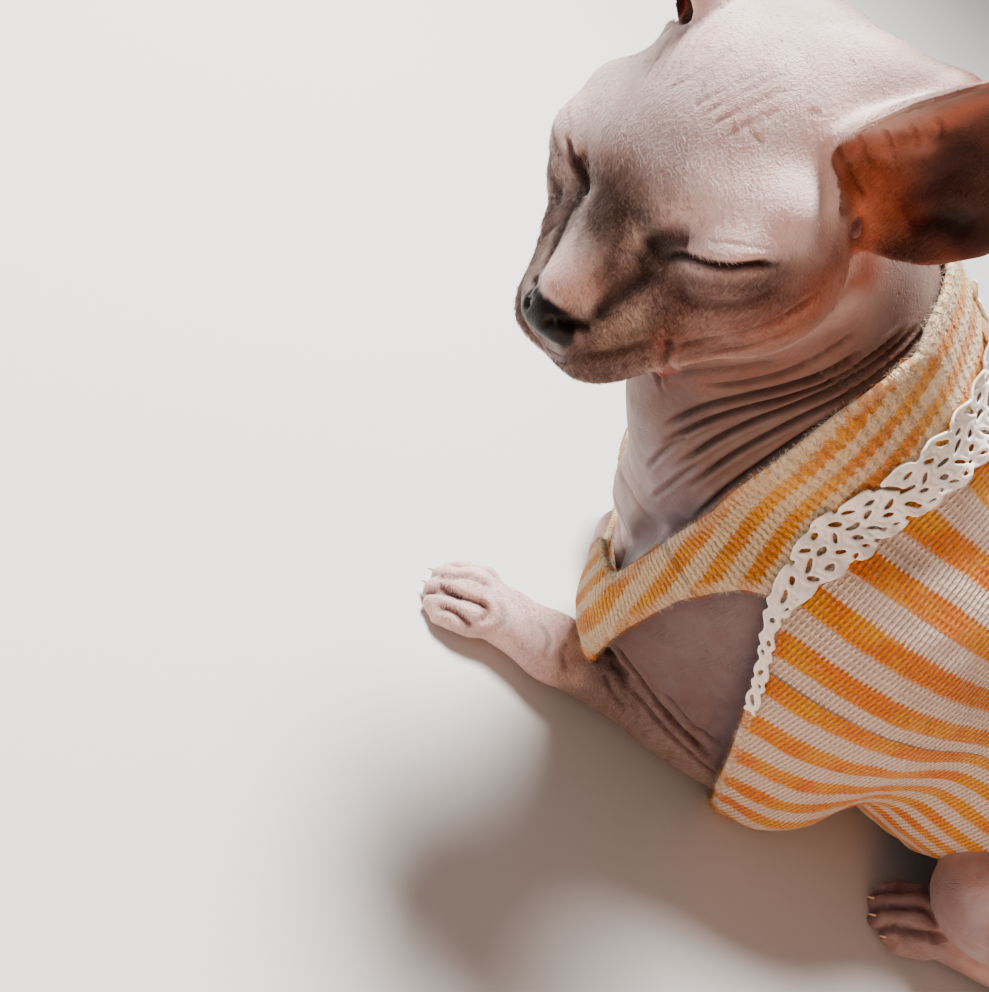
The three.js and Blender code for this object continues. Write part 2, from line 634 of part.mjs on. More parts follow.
let vest = solidFrom(vestBody, vestForm, 110, VEST_CLEAR + VEST_THICK)
  .subtract(solidFrom(vestBody, vestForm, 110, VEST_CLEAR));
vest = vest.subtract(neckHole).subtract(frontCut);
vest = vest.intersect(halfSpace([0, VEST_HEM, 80], [0, -1, 0], 0));
vest = vest.intersect(halfSpace([0, 0, VEST_LOWEST], [0, 0, 1], 0));
vest = vest.subtract(armholeSolid(1)).subtract(armholeSolid(-1));
forelegs.forEach(({ elbow, wrist }) => {
  vest = vest.subtract(legFrom(elbow, wrist, forearmForm(elbow, wrist), 6, 12, 26, 1));
});
bothSides((side) => {
  vest = vest.subtract(legFrom(onSide(HIP, side), onSide(KNEE, side), thighForm(side), 4, 16, 60, 0.6));
  return side;
});
limbsGrown.forEach((limb) => {
  vest = vest.subtract(limb);
});
addNode('vest', vest.subtract(torsoGrown).subtract(neckGrown), COLOURS.knit, 0.9);

// Lace frill along the top of each armhole
const vestGrown = solidFrom(vestBody, vestForm, 110, VEST_CLEAR + VEST_THICK + GAP);
bothSides((side) => {
  const path = curveThrough([[0, 128, 88], [0, 129, 104], [0, 131, 122], [0, 134, 140], [0, 139, 156]]);
  const geometry = cleanGeometry(new THREE.BoxGeometry(1, 1, 1, 14, 2, 1));
  const points = pointsOf(geometry).map(([x, y, z]) => {
    const [, back, up] = path.getPointAt(x + 0.5).toArray();
    const from = [0, back + (y + 0.5) * LACE_WIDTH, Math.min(up, 100)];
    const aim = unit([side * Math.cos((x + 0.5) * 1.25), 0, Math.sin((x + 0.5) * 1.25)]);
    const start = [0, from[1], 92];
    const height = VEST_CLEAR + VEST_THICK + GAP + (z + 0.5) * LACE_THICK;
    return add(start, mul(aim, surfaceDistance(start, aim, vestForm, height, 110)));
  });
  const triangles = trianglesOf(geometry);
  const lace = solidOf(points, turnedFor(-side, triangles)).subtract(vestGrown);
  addNode(side > 0 ? 'lace_left' : 'lace_right', lace, COLOURS.lace, 0.8);
  return side;
});

// Scene graph, set with the floor at z = 0 and the middle of its box over the origin
const group = new THREE.Group();
const box = new THREE.Box3();
nodes.forEach(({ name, solid, colour, roughness }) => {
  const { vertProperties, triVerts } = largest(solid.intersect(aboveFloor)).getMesh();
  const geometry = new THREE.BufferGeometry();
  geometry.setAttribute('position', new THREE.BufferAttribute(vertProperties, 3));
  geometry.setIndex(new THREE.BufferAttribute(triVerts, 1));
  geometry.computeBoundingBox();
  box.union(geometry.boundingBox);
  const mesh = new THREE.Mesh(geometry, new THREE.MeshStandardMaterial({ color: colour, roughness, metalness: 0 }));
  mesh.name = name;
  group.add(mesh);
});
group.position.set(-(box.min.x + box.max.x) / 2, -(box.min.y + box.max.y) / 2, -box.min.z);

export default group;
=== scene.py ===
"""Sphynx cat lying on its chest, head up, turned and eyes shut, in a knitted vest with a lace frill."""

import logging
import math
from collections.abc import Callable
from dataclasses import dataclass, field
from enum import Enum

import bpy
import numpy as np
from mathutils import Matrix, Vector
from mathutils.bvhtree import BVHTree


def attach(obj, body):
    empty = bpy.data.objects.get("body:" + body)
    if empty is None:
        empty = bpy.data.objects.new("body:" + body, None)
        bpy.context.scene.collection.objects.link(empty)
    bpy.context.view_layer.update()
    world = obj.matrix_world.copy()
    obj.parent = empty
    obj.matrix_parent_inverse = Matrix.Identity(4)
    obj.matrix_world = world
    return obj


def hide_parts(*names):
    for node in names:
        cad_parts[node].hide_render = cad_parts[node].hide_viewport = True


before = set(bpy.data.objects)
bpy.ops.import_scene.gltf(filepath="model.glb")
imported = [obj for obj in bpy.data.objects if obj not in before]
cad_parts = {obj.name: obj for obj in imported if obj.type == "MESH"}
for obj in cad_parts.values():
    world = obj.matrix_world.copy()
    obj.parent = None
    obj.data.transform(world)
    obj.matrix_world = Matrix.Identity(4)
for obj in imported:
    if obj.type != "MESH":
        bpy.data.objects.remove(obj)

log = logging.getLogger("sphynx")
MM = 0.001
# Where the cat's own origin lies in the frame, in millimetres.
SHIFT = np.array((13.1657, -215.4053, 0.0))
FLESH = (
    "head", "eye_left", "eye_right", "ear_left", "ear_right", "nose", "neck", "torso",
    "upper_arm_left", "upper_arm_right", "forearm_left", "forearm_right",
    "forepaw_left", "forepaw_right", "thigh_left", "thigh_right", "shank_left", "shank_right",
    "hind_foot_left", "hind_foot_right", "tail_1", "tail_2", "tail_3", "tail_4",
)


# Points and forms, in the cat's own millimetres: x to its left, y to its rear, z up


def to_cat(points: np.ndarray) -> np.ndarray:
    """Turns frame metres into the cat's own millimetres."""
    return points / MM - SHIFT


def to_frame(points: np.ndarray) -> np.ndarray:
    """Turns the cat's own millimetres into frame metres."""
    return (points + SHIFT) * MM


def unit(vector: np.ndarray) -> np.ndarray:
    """Gives each vector the length one."""
    return vector / np.maximum(np.linalg.norm(vector, axis=-1, keepdims=True), 1e-9)


def smooth(low: float, high: float, values: np.ndarray) -> np.ndarray:
    """Rises smoothly from 0 at low to 1 at high."""
    t = np.clip((values - low) / (high - low), 0.0, 1.0)
    return t * t * (3.0 - 2.0 * t)


def noise(points: np.ndarray, size: float, seed: int) -> np.ndarray:
    """Smooth noise from -1 to 1.

    Args:
        points: Places, one a row.
        size: The width of a lump, in the unit of the points.
        seed: Which noise.

    Returns:
        One value for each point.
    """
    q = points / size
    cell = np.floor(q).astype(np.int64)
    f = q - cell
    f = f * f * f * (f * (f * 6 - 15) + 10)
    total = np.zeros(len(points))
    for corner in range(8):
        step = np.array([corner & 1, corner >> 1 & 1, corner >> 2 & 1])
        c = cell + step
        h = (c[:, 0] * 73856093) ^ (c[:, 1] * 19349663) ^ (c[:, 2] * 83492791) ^ (seed * 2654435761)
        h = (h ^ (h >> 13)) * 1274126177 & 0x7FFFFFFF
        h = ((h ^ (h >> 16)) * 668265263) & 0xFFFFFF
        weight = np.prod(np.where(step, f, 1 - f), axis=1)
        total += weight * (h / 8388607.5 - 1.0)
    return total


Box = tuple[np.ndarray, np.ndarray]
FAR = 100.0


@dataclass(frozen=True)
class Egg:
    """A rounded lump."""

    centre: tuple[float, float, float]
    radii: tuple[float, float, float]

    def box(self) -> Box:
        """Lowest and highest corner."""
        return np.array(self.centre) - self.radii, np.array(self.centre) + self.radii

    def distance(self, points: np.ndarray) -> np.ndarray:
        """Rough distance of each point, below zero inside.

        Args:
            points: Places, one a row.

        Returns:
            One distance for each point.
        """
        q = points - np.array(self.centre)
        near = np.linalg.norm(q / np.array(self.radii), axis=1)
        slope = np.linalg.norm(q / np.array(self.radii) ** 2, axis=1)
        return near * (near - 1) / np.maximum(slope, 1e-9)


@dataclass(frozen=True)
class Bone:
    """A limb of round section between two points."""

    start: tuple[float, float, float]
    end: tuple[float, float, float]
    radius_start: float
    radius_end: float

    def box(self) -> Box:
        """Lowest and highest corner."""
        ends, reach = np.array([self.start, self.end], float), max(self.radius_start, self.radius_end)
        return ends.min(0) - reach, ends.max(0) + reach

    def distance(self, points: np.ndarray) -> np.ndarray:
        """Distance of each point, below zero inside.

        Args:
            points: Places, one a row.

        Returns:
            One distance for each point.
        """
        start = np.array(self.start)
        along = np.array(self.end) - start
        t = np.clip((points - start) @ along / (along @ along), 0, 1)
        away = np.linalg.norm(points - start - t[:, None] * along, axis=1)
        return away - (self.radius_start + (self.radius_end - self.radius_start) * t)


@dataclass(frozen=True)
class Blend:
    """Several forms that flow into one another."""

    reach: float
    parts: tuple

    def box(self) -> Box:
        """Lowest and highest corner."""
        corners = [part.box() for part in self.parts]
        return np.min([c[0] for c in corners], axis=0), np.max([c[1] for c in corners], axis=0)

    def distance(self, points: np.ndarray) -> np.ndarray:
        """Rough distance of each point, below zero inside, and FAR where no part is near.

        Args:
            points: Places, one a row.

        Returns:
            One distance for each point.
        """
        total = np.full(len(points), FAR)
        margin = self.reach + 6.0
        for part in self.parts:
            low, high = part.box()
            near = np.nonzero(np.all((points > low - margin) & (points < high + margin), axis=1))[0]
            if len(near) == 0:
                continue
            d, was = part.distance(points[near]), total[near]
            h = np.maximum(self.reach - np.abs(was - d), 0) / self.reach
            total[near] = np.minimum(was, d) - h * h * self.reach * 0.25
        return total


def both(make: Callable[[int], object]) -> list:
    """Makes a left and a right one."""
    return [make(1), make(-1)]


@dataclass(frozen=True)
class HeadFrame:
    """The head's own axes: left, back and up from the point between the eyes."""

    at: tuple[float, float, float] = (58.0, 34.0, 174.0)
    scale: float = 0.95
    nod: float = 25.0
    tilt: float = 16.0
    turn: float = 59.0

    def axes(self) -> np.ndarray:
        """The head's turn.

        Returns:
            Rows that are the head's left, back and up.
        """
        turn = Matrix.Rotation(math.radians(self.turn), 3, "Z")
        nod = Matrix.Rotation(math.radians(self.nod), 3, "X")
        tilt = Matrix.Rotation(math.radians(-self.tilt), 3, "Y")
        return np.array(turn @ nod @ tilt).T

    def inside(self, points: np.ndarray) -> np.ndarray:
        """Turns the cat's millimetres into the head's own."""
        return (points - np.array(self.at)) @ self.axes().T / self.scale

    def outside(self, points: np.ndarray) -> np.ndarray:
        """Turns the head's own millimetres into the cat's."""
        return np.asarray(points, float) * self.scale @ self.axes() + np.array(self.at)


@dataclass(frozen=True)
class InHead:
    """A form given in the head's own millimetres."""

    head: HeadFrame
    form: Blend

    def box(self) -> Box:
        """The box round the placed form.

        Returns:
            Lowest and highest corner.
        """
        low, high = self.form.box()
        corners = np.array([[(low, high)[i >> k & 1][k] for k in range(3)] for i in range(8)])
        placed = self.head.outside(corners)
        return placed.min(0), placed.max(0)

    def distance(self, points: np.ndarray) -> np.ndarray:
        """Rough distance of each point, below zero inside."""
        return self.form.distance(self.head.inside(points)) * self.head.scale


def at(left: float, forward: float, up: float) -> tuple[float, float, float]:
    """A point of the head, from how far left, forward and up it lies."""
    return (left, -forward, up)


@dataclass(frozen=True)
class SlantedEgg:
    """A lump with its outer end raised, as a shut eye has."""

    centre: tuple[float, float, float]
    radii: tuple[float, float, float]
    slant: float
    side: int

    def box(self) -> Box:
        """Lowest and highest corner."""
        return np.array(self.centre) - max(self.radii), np.array(self.centre) + max(self.radii)

    def distance(self, points: np.ndarray) -> np.ndarray:
        """Rough distance of each point, below zero inside.

        Args:
            points: Places, one a row.

        Returns:
            One distance for each point.
        """
        q = points - np.array(self.centre)
        out = q[:, 0] * self.side
        c, s = math.cos(self.slant), math.sin(self.slant)
        turned = np.stack([out * c + q[:, 2] * s, q[:, 1], q[:, 2] * c - out * s], axis=1)
        return Egg((0, 0, 0), self.radii).distance(turned)


# Heel and ball of the toes of each paw from above: front left, front right, hind left, hind right.
PAWS = (((41, 106), (38, 74)), ((-26, 122), (-2, 139)), ((55, 300), (58, 272)), ((-55, 300), (-58, 272)))
# Places across a paw, counted in toes.
TOES = (-1.5, -0.5, 0.5, 1.5)
CLEFTS = (-1, 0, 1)


def paw_axes(heel: tuple, ball: tuple) -> tuple[np.ndarray, np.ndarray]:
    """Which way a paw points.

    Args:
        heel: The heel's place.
        ball: The place of the ball of the toes.

    Returns:
        Forward and across, both level.
    """
    forward = unit(np.array([ball[0] - heel[0], ball[1] - heel[1], 0.0]))
    return forward, np.array([-forward[1], forward[0], 0.0])


@dataclass(frozen=True)
class Anatomy:
    """The rounded forms that the skin lies on."""

    head: HeadFrame = HeadFrame()
    eye_spread: float = 20.5
    eye_slant: float = math.radians(23)
    lid_radii: tuple[float, float, float] = (12.5, 10.5, 8.0)

    def face(self) -> InHead:
        """Makes skull, cheeks, muzzle, chin, brow, lids and nose.

        Returns:
            The form.
        """
        bulk = Blend(8, (
            Egg(at(0, -28, 8), (29, 33, 25)),
            Egg(at(0, -9, 6), (22, 19, 15)),
            Egg(at(0, 1, -14), (18, 20, 17)),
            *both(lambda s: Bone(at(s * 12, -36, 20), at(s * 24, -34, 12), 9, 10)),
            Bone(at(22, -40, 21), at(36, -46, 24), 9, 5.5),
            Bone(at(0, 4, 3), at(0, 25, -13), 9, 6.8),
            Egg(at(0, 15, -26), (13, 14, 11)),
            Egg(at(0, 16, -37), (9, 10, 7)),
            Bone(at(0, 10, -35), at(0, -26, -28), 9, 15),
            *both(lambda s: Bone(at(s * 9, 4, 6), at(s * 26, -8, 8), 6, 7)),
            *both(lambda s: Egg(at(s * 24, -9, -9), (13, 19, 12))),
            *both(lambda s: Egg(at(s * 20, -18, -20), (16, 22, 18))),
            *both(lambda s: Egg(at(s * 14, 4, -20), (12, 16, 15))),
            *both(lambda s: Egg(at(s * 8, 20, -26), (9, 12, 9.5))),
            *both(lambda s: Egg(at(s * self.eye_spread, -4, -1), (11, 9.5, 10))),
        ))
        lids = both(lambda s: SlantedEgg(at(s * self.eye_spread, 1, 0), self.lid_radii, self.eye_slant, s))
        nose = Blend(2.5, (
            Egg(at(0, 31.5, -18), (6.8, 4.2, 5)),
            *both(lambda s: Egg(at(s * 4.6, 29.8, -19.5), (3.4, 4, 3.2))),
        ))
        return InHead(self.head, Blend(1.6, (Blend(4.5, (bulk, *lids)), nose)))

    def trunk(self) -> Blend:
        """Makes chest, belly and rump.

        Returns:
            The form.
        """
        return Blend(16, (
            Egg((0, 162, 86), (41, 66, 64)),
            Egg((0, 138, 58), (34, 34, 46)),
            Egg((0, 236, 76), (44, 84, 57)),
            Egg((0, 262, 46), (46, 66, 38)),
            Egg((0, 334, 76), (45, 58, 50)),
            Egg((0, 372, 62), (30, 30, 34)),
            *both(lambda s: Bone((s * 15, 150, 140), (s * 22, 176, 118), 14, 16)),
        ))

    def body(self) -> Blend:
        """Makes trunk and neck together.

        Returns:
            The form.
        """
        neck = Blend(14, (
            Bone((26, 58, 176), (2, 126, 126), 26, 41),
            Bone((20, 70, 144), (2, 132, 72), 22, 35),
        ))
        return Blend(12, (self.trunk(), neck))

    def upper_arm(self, side: int) -> Blend:
        """Makes a foreleg from shoulder to elbow.

        Args:
            side: 1 on the left, -1 on the right.

        Returns:
            The form.
        """
        return Blend(12, (
            Bone((31 * side, 134, 84), (44 * side, 192, 22), 25, 17),
            Egg((37 * side, 146, 74), (17, 26, 34)),
            Egg((35 * side, 122, 60), (16, 24, 26)),
            Bone((45 * side, 112, 47), (46 * side, 150, 29), 8.5, 9.5),
        ))

    @staticmethod
    def forearm(elbow: tuple, wrist: tuple) -> Blend:
        """Makes a foreleg from elbow to wrist.

        Args:
            elbow: The elbow's place.
            wrist: The wrist's place.

        Returns:
            The form.
        """
        middle = tuple(e + (w - e) * 0.45 for e, w in zip(elbow, wrist))
        return Blend(8, (
            Bone(elbow, wrist, 14.5, 10.6),
            Bone((elbow[0], elbow[1] + 4, elbow[2] - 2), middle, 15.5, 13.4),
        ))

    @staticmethod
    def paw(heel: tuple, ball: tuple, heel_radius: float) -> Blend:
        """Makes a paw with its four toes, flat on the floor.

        Args:
            heel: The heel's place.
            ball: The place of the ball of the toes.
            heel_radius: How thick the paw is at its heel.

        Returns:
            The form.
        """
        forward, across = paw_axes(heel, ball)
        toes = []
        for place in TOES:
            reach = 13 - 2.2 * place * place
            root = np.array(ball) + across * place * 5.6 - forward * 3
            tip = np.array(ball) + across * place * 6.3 + forward * reach
            toes.append(Bone((root[0], root[1], 8), (tip[0], tip[1], 4.6), 5.4, 4.9))
        return Blend(5, (Bone(heel, ball, heel_radius, 9.5), Blend(2.2, tuple(toes))))

    @staticmethod
    def toe_lines() -> list[np.ndarray]:
        """Draws the clefts between the toes of every paw, from their tips over their tops.

        Returns:
            One line for each cleft.
        """
        steps = ((0, 2.0), (-0.5, 6.0), (-4, 10.0), (-9, 13.0), (-14, 15.0), (-18, 17.0))
        lines = []
        for heel, ball in PAWS:
            forward, across = paw_axes(heel, ball)
            for place in CLEFTS:
                middle = np.array([ball[0], ball[1], 0.0]) + across * place * 6.0
                end = 13.5 - 2.2 * place * place
                spots = np.array([middle + forward * (end + a) + np.array([0, 0, b]) for a, b in steps])
                lines.append(catmull(spots, 28))
        return lines

    @staticmethod
    def knuckles() -> list[tuple[np.ndarray, float, float]]:
        """Places the rise of each toe's joint and the dips before and behind it.

        Returns:
            Place, width and height of each.
        """
        bumps = ((0, 13.5, 3.4, 1.2), (5.5, 10.5, 2.2, -0.6), (-5.5, 16, 3.0, -0.9))
        out = []
        for heel, ball in PAWS:
            forward, across = paw_axes(heel, ball)
            for place in TOES:
                middle = np.array([ball[0], ball[1], 0.0]) + across * place * 6.0
                reach = 3.5 - 1.6 * place * place
                for ahead, up, width, height in bumps:
                    out.append((middle + forward * (reach + ahead) + np.array([0, 0, up]), width, height))
        return out

    def whole(self) -> Blend:
        """Makes the whole skin but for the ears.

        Returns:
            The form.
        """
        left = Blend(6, (
            self.forearm((44, 192, 22), (41, 106, 12)),
            self.paw((41, 106, 12), (38, 74, 9), 10.6),
        ))
        right = Blend(6, (
            self.forearm((-44, 190, 21), (-26, 122, 12)),
            self.paw((-26, 122, 12), (-2, 139, 9), 10.6),
        ))
        thighs = both(lambda s: Blend(14, (
            Bone((26 * s, 344, 76), (55 * s, 280, 40), 36, 23),
            Egg((38 * s, 328, 66), (27, 50, 44)),
        )))
        shanks = both(lambda s: Bone((55 * s, 280, 40), (55 * s, 367, 14), 20, 9))
        feet = both(lambda s: self.paw((55 * s, 367, 14), (58 * s, 272, 9), 10.5))
        tail = Tail().form()
        core = Blend(8, (self.body(), *both(self.upper_arm), *thighs))
        limbs = Blend(3, (core, left, right, *shanks, *feet, tail))
        return Blend(5, (limbs, self.face()))


@dataclass(frozen=True)
class Tail:
    """The tail's route and thickness."""

    route: tuple = (
        (0, 372, 66), (-6, 408, 44), (-30, 428, 17), (-64, 420, 9),
        (-92, 388, 7.5), (-103, 340, 6.5), (-101, 292, 5.5), (-92, 252, 4.4),
    )
    radii: tuple[float, float] = (14.0, 3.6)

    def points(self, count: int) -> np.ndarray:
        """Points along the route, evenly in its parameter."""
        return catmull(np.array(self.route, float), count)

    def form(self) -> Blend:
        """Makes the round form along the route.

        Returns:
            The form.
        """
        route = self.points(36)
        steps = np.linalg.norm(np.diff(route, axis=0), axis=1)
        share = np.concatenate([[0], np.cumsum(steps)]) / steps.sum()
        radius = self.radii[0] + (self.radii[1] - self.radii[0]) * share ** 0.75
        links = zip(map(tuple, route[:-1]), map(tuple, route[1:]), radius[:-1], radius[1:])
        return Blend(0.3, tuple(Bone(*link) for link in links))


def catmull(points: np.ndarray, count: int) -> np.ndarray:
    """A smooth curve through points.

    Args:
        points: The points that it passes, one a row.
        count: How many points to give back.

    Returns:
        Points along the curve.
    """
    padded = np.vstack([2 * points[0] - points[1], points, 2 * points[-1] - points[-2]])
    t = np.linspace(0, len(points) - 1 - 1e-6, count)
    i = t.astype(int)
    f = (t - i)[:, None]
    a, b, c, d = (padded[i + k] for k in range(4))
    bend = (2 * a - 5 * b + 4 * c - d) * f ** 2
    return 0.5 * (2 * b + (c - a) * f + bend + (3 * b - a - 3 * c + d) * f ** 3)


# Mesh helpers


def deselect() -> None:
    """Leaves nothing selected."""
    if bpy.context.object and bpy.context.object.mode != "OBJECT":
        bpy.ops.object.mode_set(mode="OBJECT")
    bpy.ops.object.select_all(action="DESELECT")


def activate(piece: bpy.types.Object) -> None:
    """Makes a piece the only selected one.

    Args:
        piece: The piece.
    """
    deselect()
    piece.select_set(True)
    bpy.context.view_layer.objects.active = piece


def mesh_object(name: str, points: np.ndarray, faces: list) -> bpy.types.Object:
    """Makes an object from points in frame metres and faces.

    Args:
        name: The object's name.
        points: Vertices, one a row.
        faces: Lists of vertex numbers.

    Returns:
        The new object, at the origin.
    """
    mesh = bpy.data.meshes.new(name)
    mesh.from_pydata(points.tolist(), [], faces)
    mesh.update()
    piece = bpy.data.objects.new(name, mesh)
    bpy.context.scene.collection.objects.link(piece)
    return piece


def places(piece: bpy.types.Object) -> np.ndarray:
    """Reads a piece's vertices.

    Args:
        piece: The piece.

    Returns:
        Places in frame metres, one a row.
    """
    co = np.zeros(len(piece.data.vertices) * 3, np.float32)
    piece.data.vertices.foreach_get("co", co)
    return co.reshape(-1, 3).astype(float)


def set_places(piece: bpy.types.Object, points: np.ndarray) -> None:
    """Writes a piece's vertices, in frame metres."""
    piece.data.vertices.foreach_set("co", points.astype(np.float32).ravel())
    piece.data.update()


def normals(piece: bpy.types.Object) -> np.ndarray:
    """Reads a piece's vertex normals.

    Args:
        piece: The piece.

    Returns:
        Directions, one a row.
    """
    out = np.zeros(len(piece.data.vertices) * 3, np.float32)
    piece.data.vertices.foreach_get("normal", out)
    return out.reshape(-1, 3).astype(float)


def edges(piece: bpy.types.Object) -> np.ndarray:
    """Reads a piece's edges.

    Args:
        piece: The piece.

    Returns:
        Pairs of vertex numbers.
    """
    out = np.zeros(len(piece.data.edges) * 2, np.int32)
    piece.data.edges.foreach_get("vertices", out)
    return out.reshape(-1, 2)


def net_faces(rows: int, columns: int, closed: bool = False) -> np.ndarray:
    """Makes the four-cornered faces of a net.

    Args:
        rows: How many rows of points it has.
        columns: How many points a row.
        closed: Whether each row joins its own start.

    Returns:
        Faces, one a row.
    """
    i, j = np.meshgrid(np.arange(rows - 1), np.arange(columns if closed else columns - 1), indexing="ij")
    here, there = i * columns, (i + 1) * columns
    k = (j + 1) % columns
    return np.stack([here + j, there + j, there + k, here + k], axis=2).reshape(-1, 4)


def sides_of(faces: np.ndarray) -> np.ndarray:
    """The sides of four-cornered faces, as pairs of points in their own turn."""
    return np.vstack([faces[:, [a, (a + 1) % 4]] for a in range(4)])


def edges_of(faces: np.ndarray) -> np.ndarray:
    """The sides of four-cornered faces, each once."""
    return np.unique(np.sort(sides_of(faces), axis=1), axis=0)


def rim_of(faces: np.ndarray, count: int) -> np.ndarray:
    """Finds the sides that only one face has.

    Args:
        faces: Four-cornered faces.
        count: How many points there are.

    Returns:
        Pairs of points, each in its face's own turn.
    """
    sides = sides_of(faces)
    keys = np.sort(sides, axis=1)
    _, first, uses = np.unique(keys[:, 0] * count + keys[:, 1], return_index=True, return_counts=True)
    return sides[first[uses == 1]]


def used_only(faces: np.ndarray, count: int) -> tuple[np.ndarray, np.ndarray]:
    """Leaves out the points that no face uses.

    Args:
        faces: Faces, one a row.
        count: How many points there are.

    Returns:
        The numbers of the points in use, and the faces in terms of them.
    """
    used = np.unique(faces)
    number = np.zeros(count, int)
    number[used] = np.arange(len(used))
    return used, number[faces]


def spread(values: np.ndarray, pairs: np.ndarray, rounds: int, share: float = 0.5) -> np.ndarray:
    """Averages values with those of the neighbours.

    Args:
        values: One row or one number for each vertex.
        pairs: The mesh's edges.
        rounds: How many times.
        share: How far each goes to its neighbours' mean.

    Returns:
        The evened values.
    """
    count = len(values)
    degree = np.maximum(np.bincount(pairs.ravel(), minlength=count), 1)
    flat = values.reshape(count, -1).copy()
    for _ in range(rounds):
        for k in range(flat.shape[1]):
            total = np.bincount(pairs[:, 0], flat[pairs[:, 1], k], count)
            total += np.bincount(pairs[:, 1], flat[pairs[:, 0], k], count)
            flat[:, k] += share * (total / degree - flat[:, k])
    return flat.reshape(values.shape)


def add_modifier(piece: bpy.types.Object, kind: str, **settings: float | str) -> None:
    """Adds a modifier with its settings and applies it.

    Args:
        piece: The piece.
        kind: The modifier's type.
        **settings: Its settings by name.
    """
    activate(piece)
    modifier = piece.modifiers.new(kind.lower(), kind)
    for key, value in settings.items():
        setattr(modifier, key, value)
    bpy.ops.object.modifier_apply(modifier=modifier.name)


def smooth_shading(piece: bpy.types.Object) -> None:
    """Shades a piece smoothly.

    Args:
        piece: The piece.
    """
    activate(piece)
    bpy.ops.object.shade_smooth()
    deselect()


def face_outwards(piece: bpy.types.Object) -> None:
    """Turns all faces of a piece outwards.

    Args:
        piece: The piece.
    """
    activate(piece)
    bpy.ops.object.mode_set(mode="EDIT")
    bpy.ops.mesh.select_all(action="SELECT")
    bpy.ops.mesh.normals_make_consistent(inside=False)
    bpy.ops.object.mode_set(mode="OBJECT")


def set_attribute(piece: bpy.types.Object, name: str, values: np.ndarray) -> None:
    """Stores one number or one colour for each vertex.

    Args:
        piece: The piece.
        name: The attribute's name.
        values: The numbers, or the colours one a row.
    """
    wide = values.ndim == 2
    layer = piece.data.attributes.new(name, "FLOAT_COLOR" if wide else "FLOAT", "POINT")
    if wide:
        full = np.ones((len(values), 4), np.float32)
        full[:, :3] = values
        layer.data.foreach_set("color", full.ravel())
    else:
        layer.data.foreach_set("value", values.astype(np.float32))


# The view


@dataclass(frozen=True)
class Lens:
    """The camera's place and turn, with a picture of 989 by 992."""

    at: tuple[float, float, float] = (262.0, 0.0, 270.0)
    right: tuple[float, float, float] = (-0.2655, 0.8295, 0.4914)
    down: tuple[float, float, float] = (0.6527, 0.5299, -0.5416)
    focal: float = 1030.0
    centre: tuple[float, float] = (494.5, 496.0)
    picture: float = 992.0
    sensor: float = 36.0

    def axes(self) -> tuple[np.ndarray, np.ndarray, np.ndarray]:
        """The camera's axes, square to one another.

        Returns:
            Right, down and forward.
        """
        right = unit(np.array(self.right))
        down = np.array(self.down)
        down = unit(down - right * (down @ right))
        return right, down, np.cross(right, down)

    def ray(self, x: float, y: float) -> tuple[Vector, Vector]:
        """The line of sight through a spot of the picture.

        Args:
            x: How far right the spot lies, in pixels.
            y: How far down.

        Returns:
            Where it starts and which way it goes, in the frame.
        """
        right, down, forward = self.axes()
        aim = forward * self.focal + right * (x - self.centre[0]) + down * (y - self.centre[1])
        return Vector(to_frame(np.array(self.at))), Vector(unit(aim))

    def make(self) -> bpy.types.Object:
        """Sets up the camera.

        Returns:
            The camera.
        """
        right, down, forward = self.axes()
        data = bpy.data.cameras.new("view")
        data.sensor_width = self.sensor
        data.lens = self.focal / self.picture * self.sensor
        data.clip_start = 0.01
        camera = bpy.data.objects.new("view", data)
        bpy.context.scene.collection.objects.link(camera)
        turn = Matrix((right, -down, -forward)).transposed()
        camera.matrix_world = Matrix.Translation(to_frame(np.array(self.at))) @ turn.to_4x4()
        bpy.context.scene.camera = camera
        return camera


# Where the lamps look, in metres.
HEAD_SPOT = Vector((0.06, -0.15, 0.12))


@dataclass
class Studio:
    """Floor, lights and surroundings."""

    lens: Lens

    def build(self) -> None:
        """Makes all of it."""
        self.lens.make()
        bpy.ops.mesh.primitive_plane_add(size=6.0, location=(0, 0, 0))
        floor = bpy.context.object
        floor.name = "floor"
        floor.data.materials.append(self.floor_material())
        self.light("key", (-0.42, -0.5, 1.1), 0.36, 39.0, (1.0, 0.985, 0.97))
        self.light("fill", (0.9, -0.9, 0.8), 1.2, 1.6, (0.96, 0.97, 1.0))
        self.light("glow", (0.62, -0.02, 0.16), 0.4, 1.2, (1.0, 0.50, 0.24))
        bpy.context.scene.view_settings.look = "AgX - Medium High Contrast"
        world = bpy.context.scene.world or bpy.data.worlds.new("room")
        bpy.context.scene.world = world
        world.use_nodes = True
        background = world.node_tree.nodes["Background"]
        background.inputs["Color"].default_value = (0.93, 0.95, 1.0, 1)
        background.inputs["Strength"].default_value = 0.17

    @staticmethod
    def light(name: str, place: tuple, size: float, power: float, colour: tuple) -> None:
        """Adds one soft lamp that looks at the head.

        Args:
            name: Its name.
            place: Where it hangs, in metres.
            size: How wide it is.
            power: How strong, in watts.
            colour: Its colour.
        """
        data = bpy.data.lights.new(name, "AREA")
        data.shape = "DISK"
        data.size = size
        data.energy = power
        data.color = colour
        lamp = bpy.data.objects.new(name, data)
        bpy.context.scene.collection.objects.link(lamp)
        aim = HEAD_SPOT - Vector(place)
        lamp.location = place
        lamp.rotation_euler = aim.to_track_quat("-Z", "Y").to_euler()

    @staticmethod
    def floor_material() -> bpy.types.Material:
        """Makes the finish of a plain pale floor.

        Returns:
            The material.
        """
        material = bpy.data.materials.new("floor")
        material.use_nodes = True
        shader = material.node_tree.nodes["Principled BSDF"]
        shader.inputs["Base Color"].default_value = (0.72, 0.71, 0.69, 1)
        shader.inputs["Roughness"].default_value = 0.75
        return material


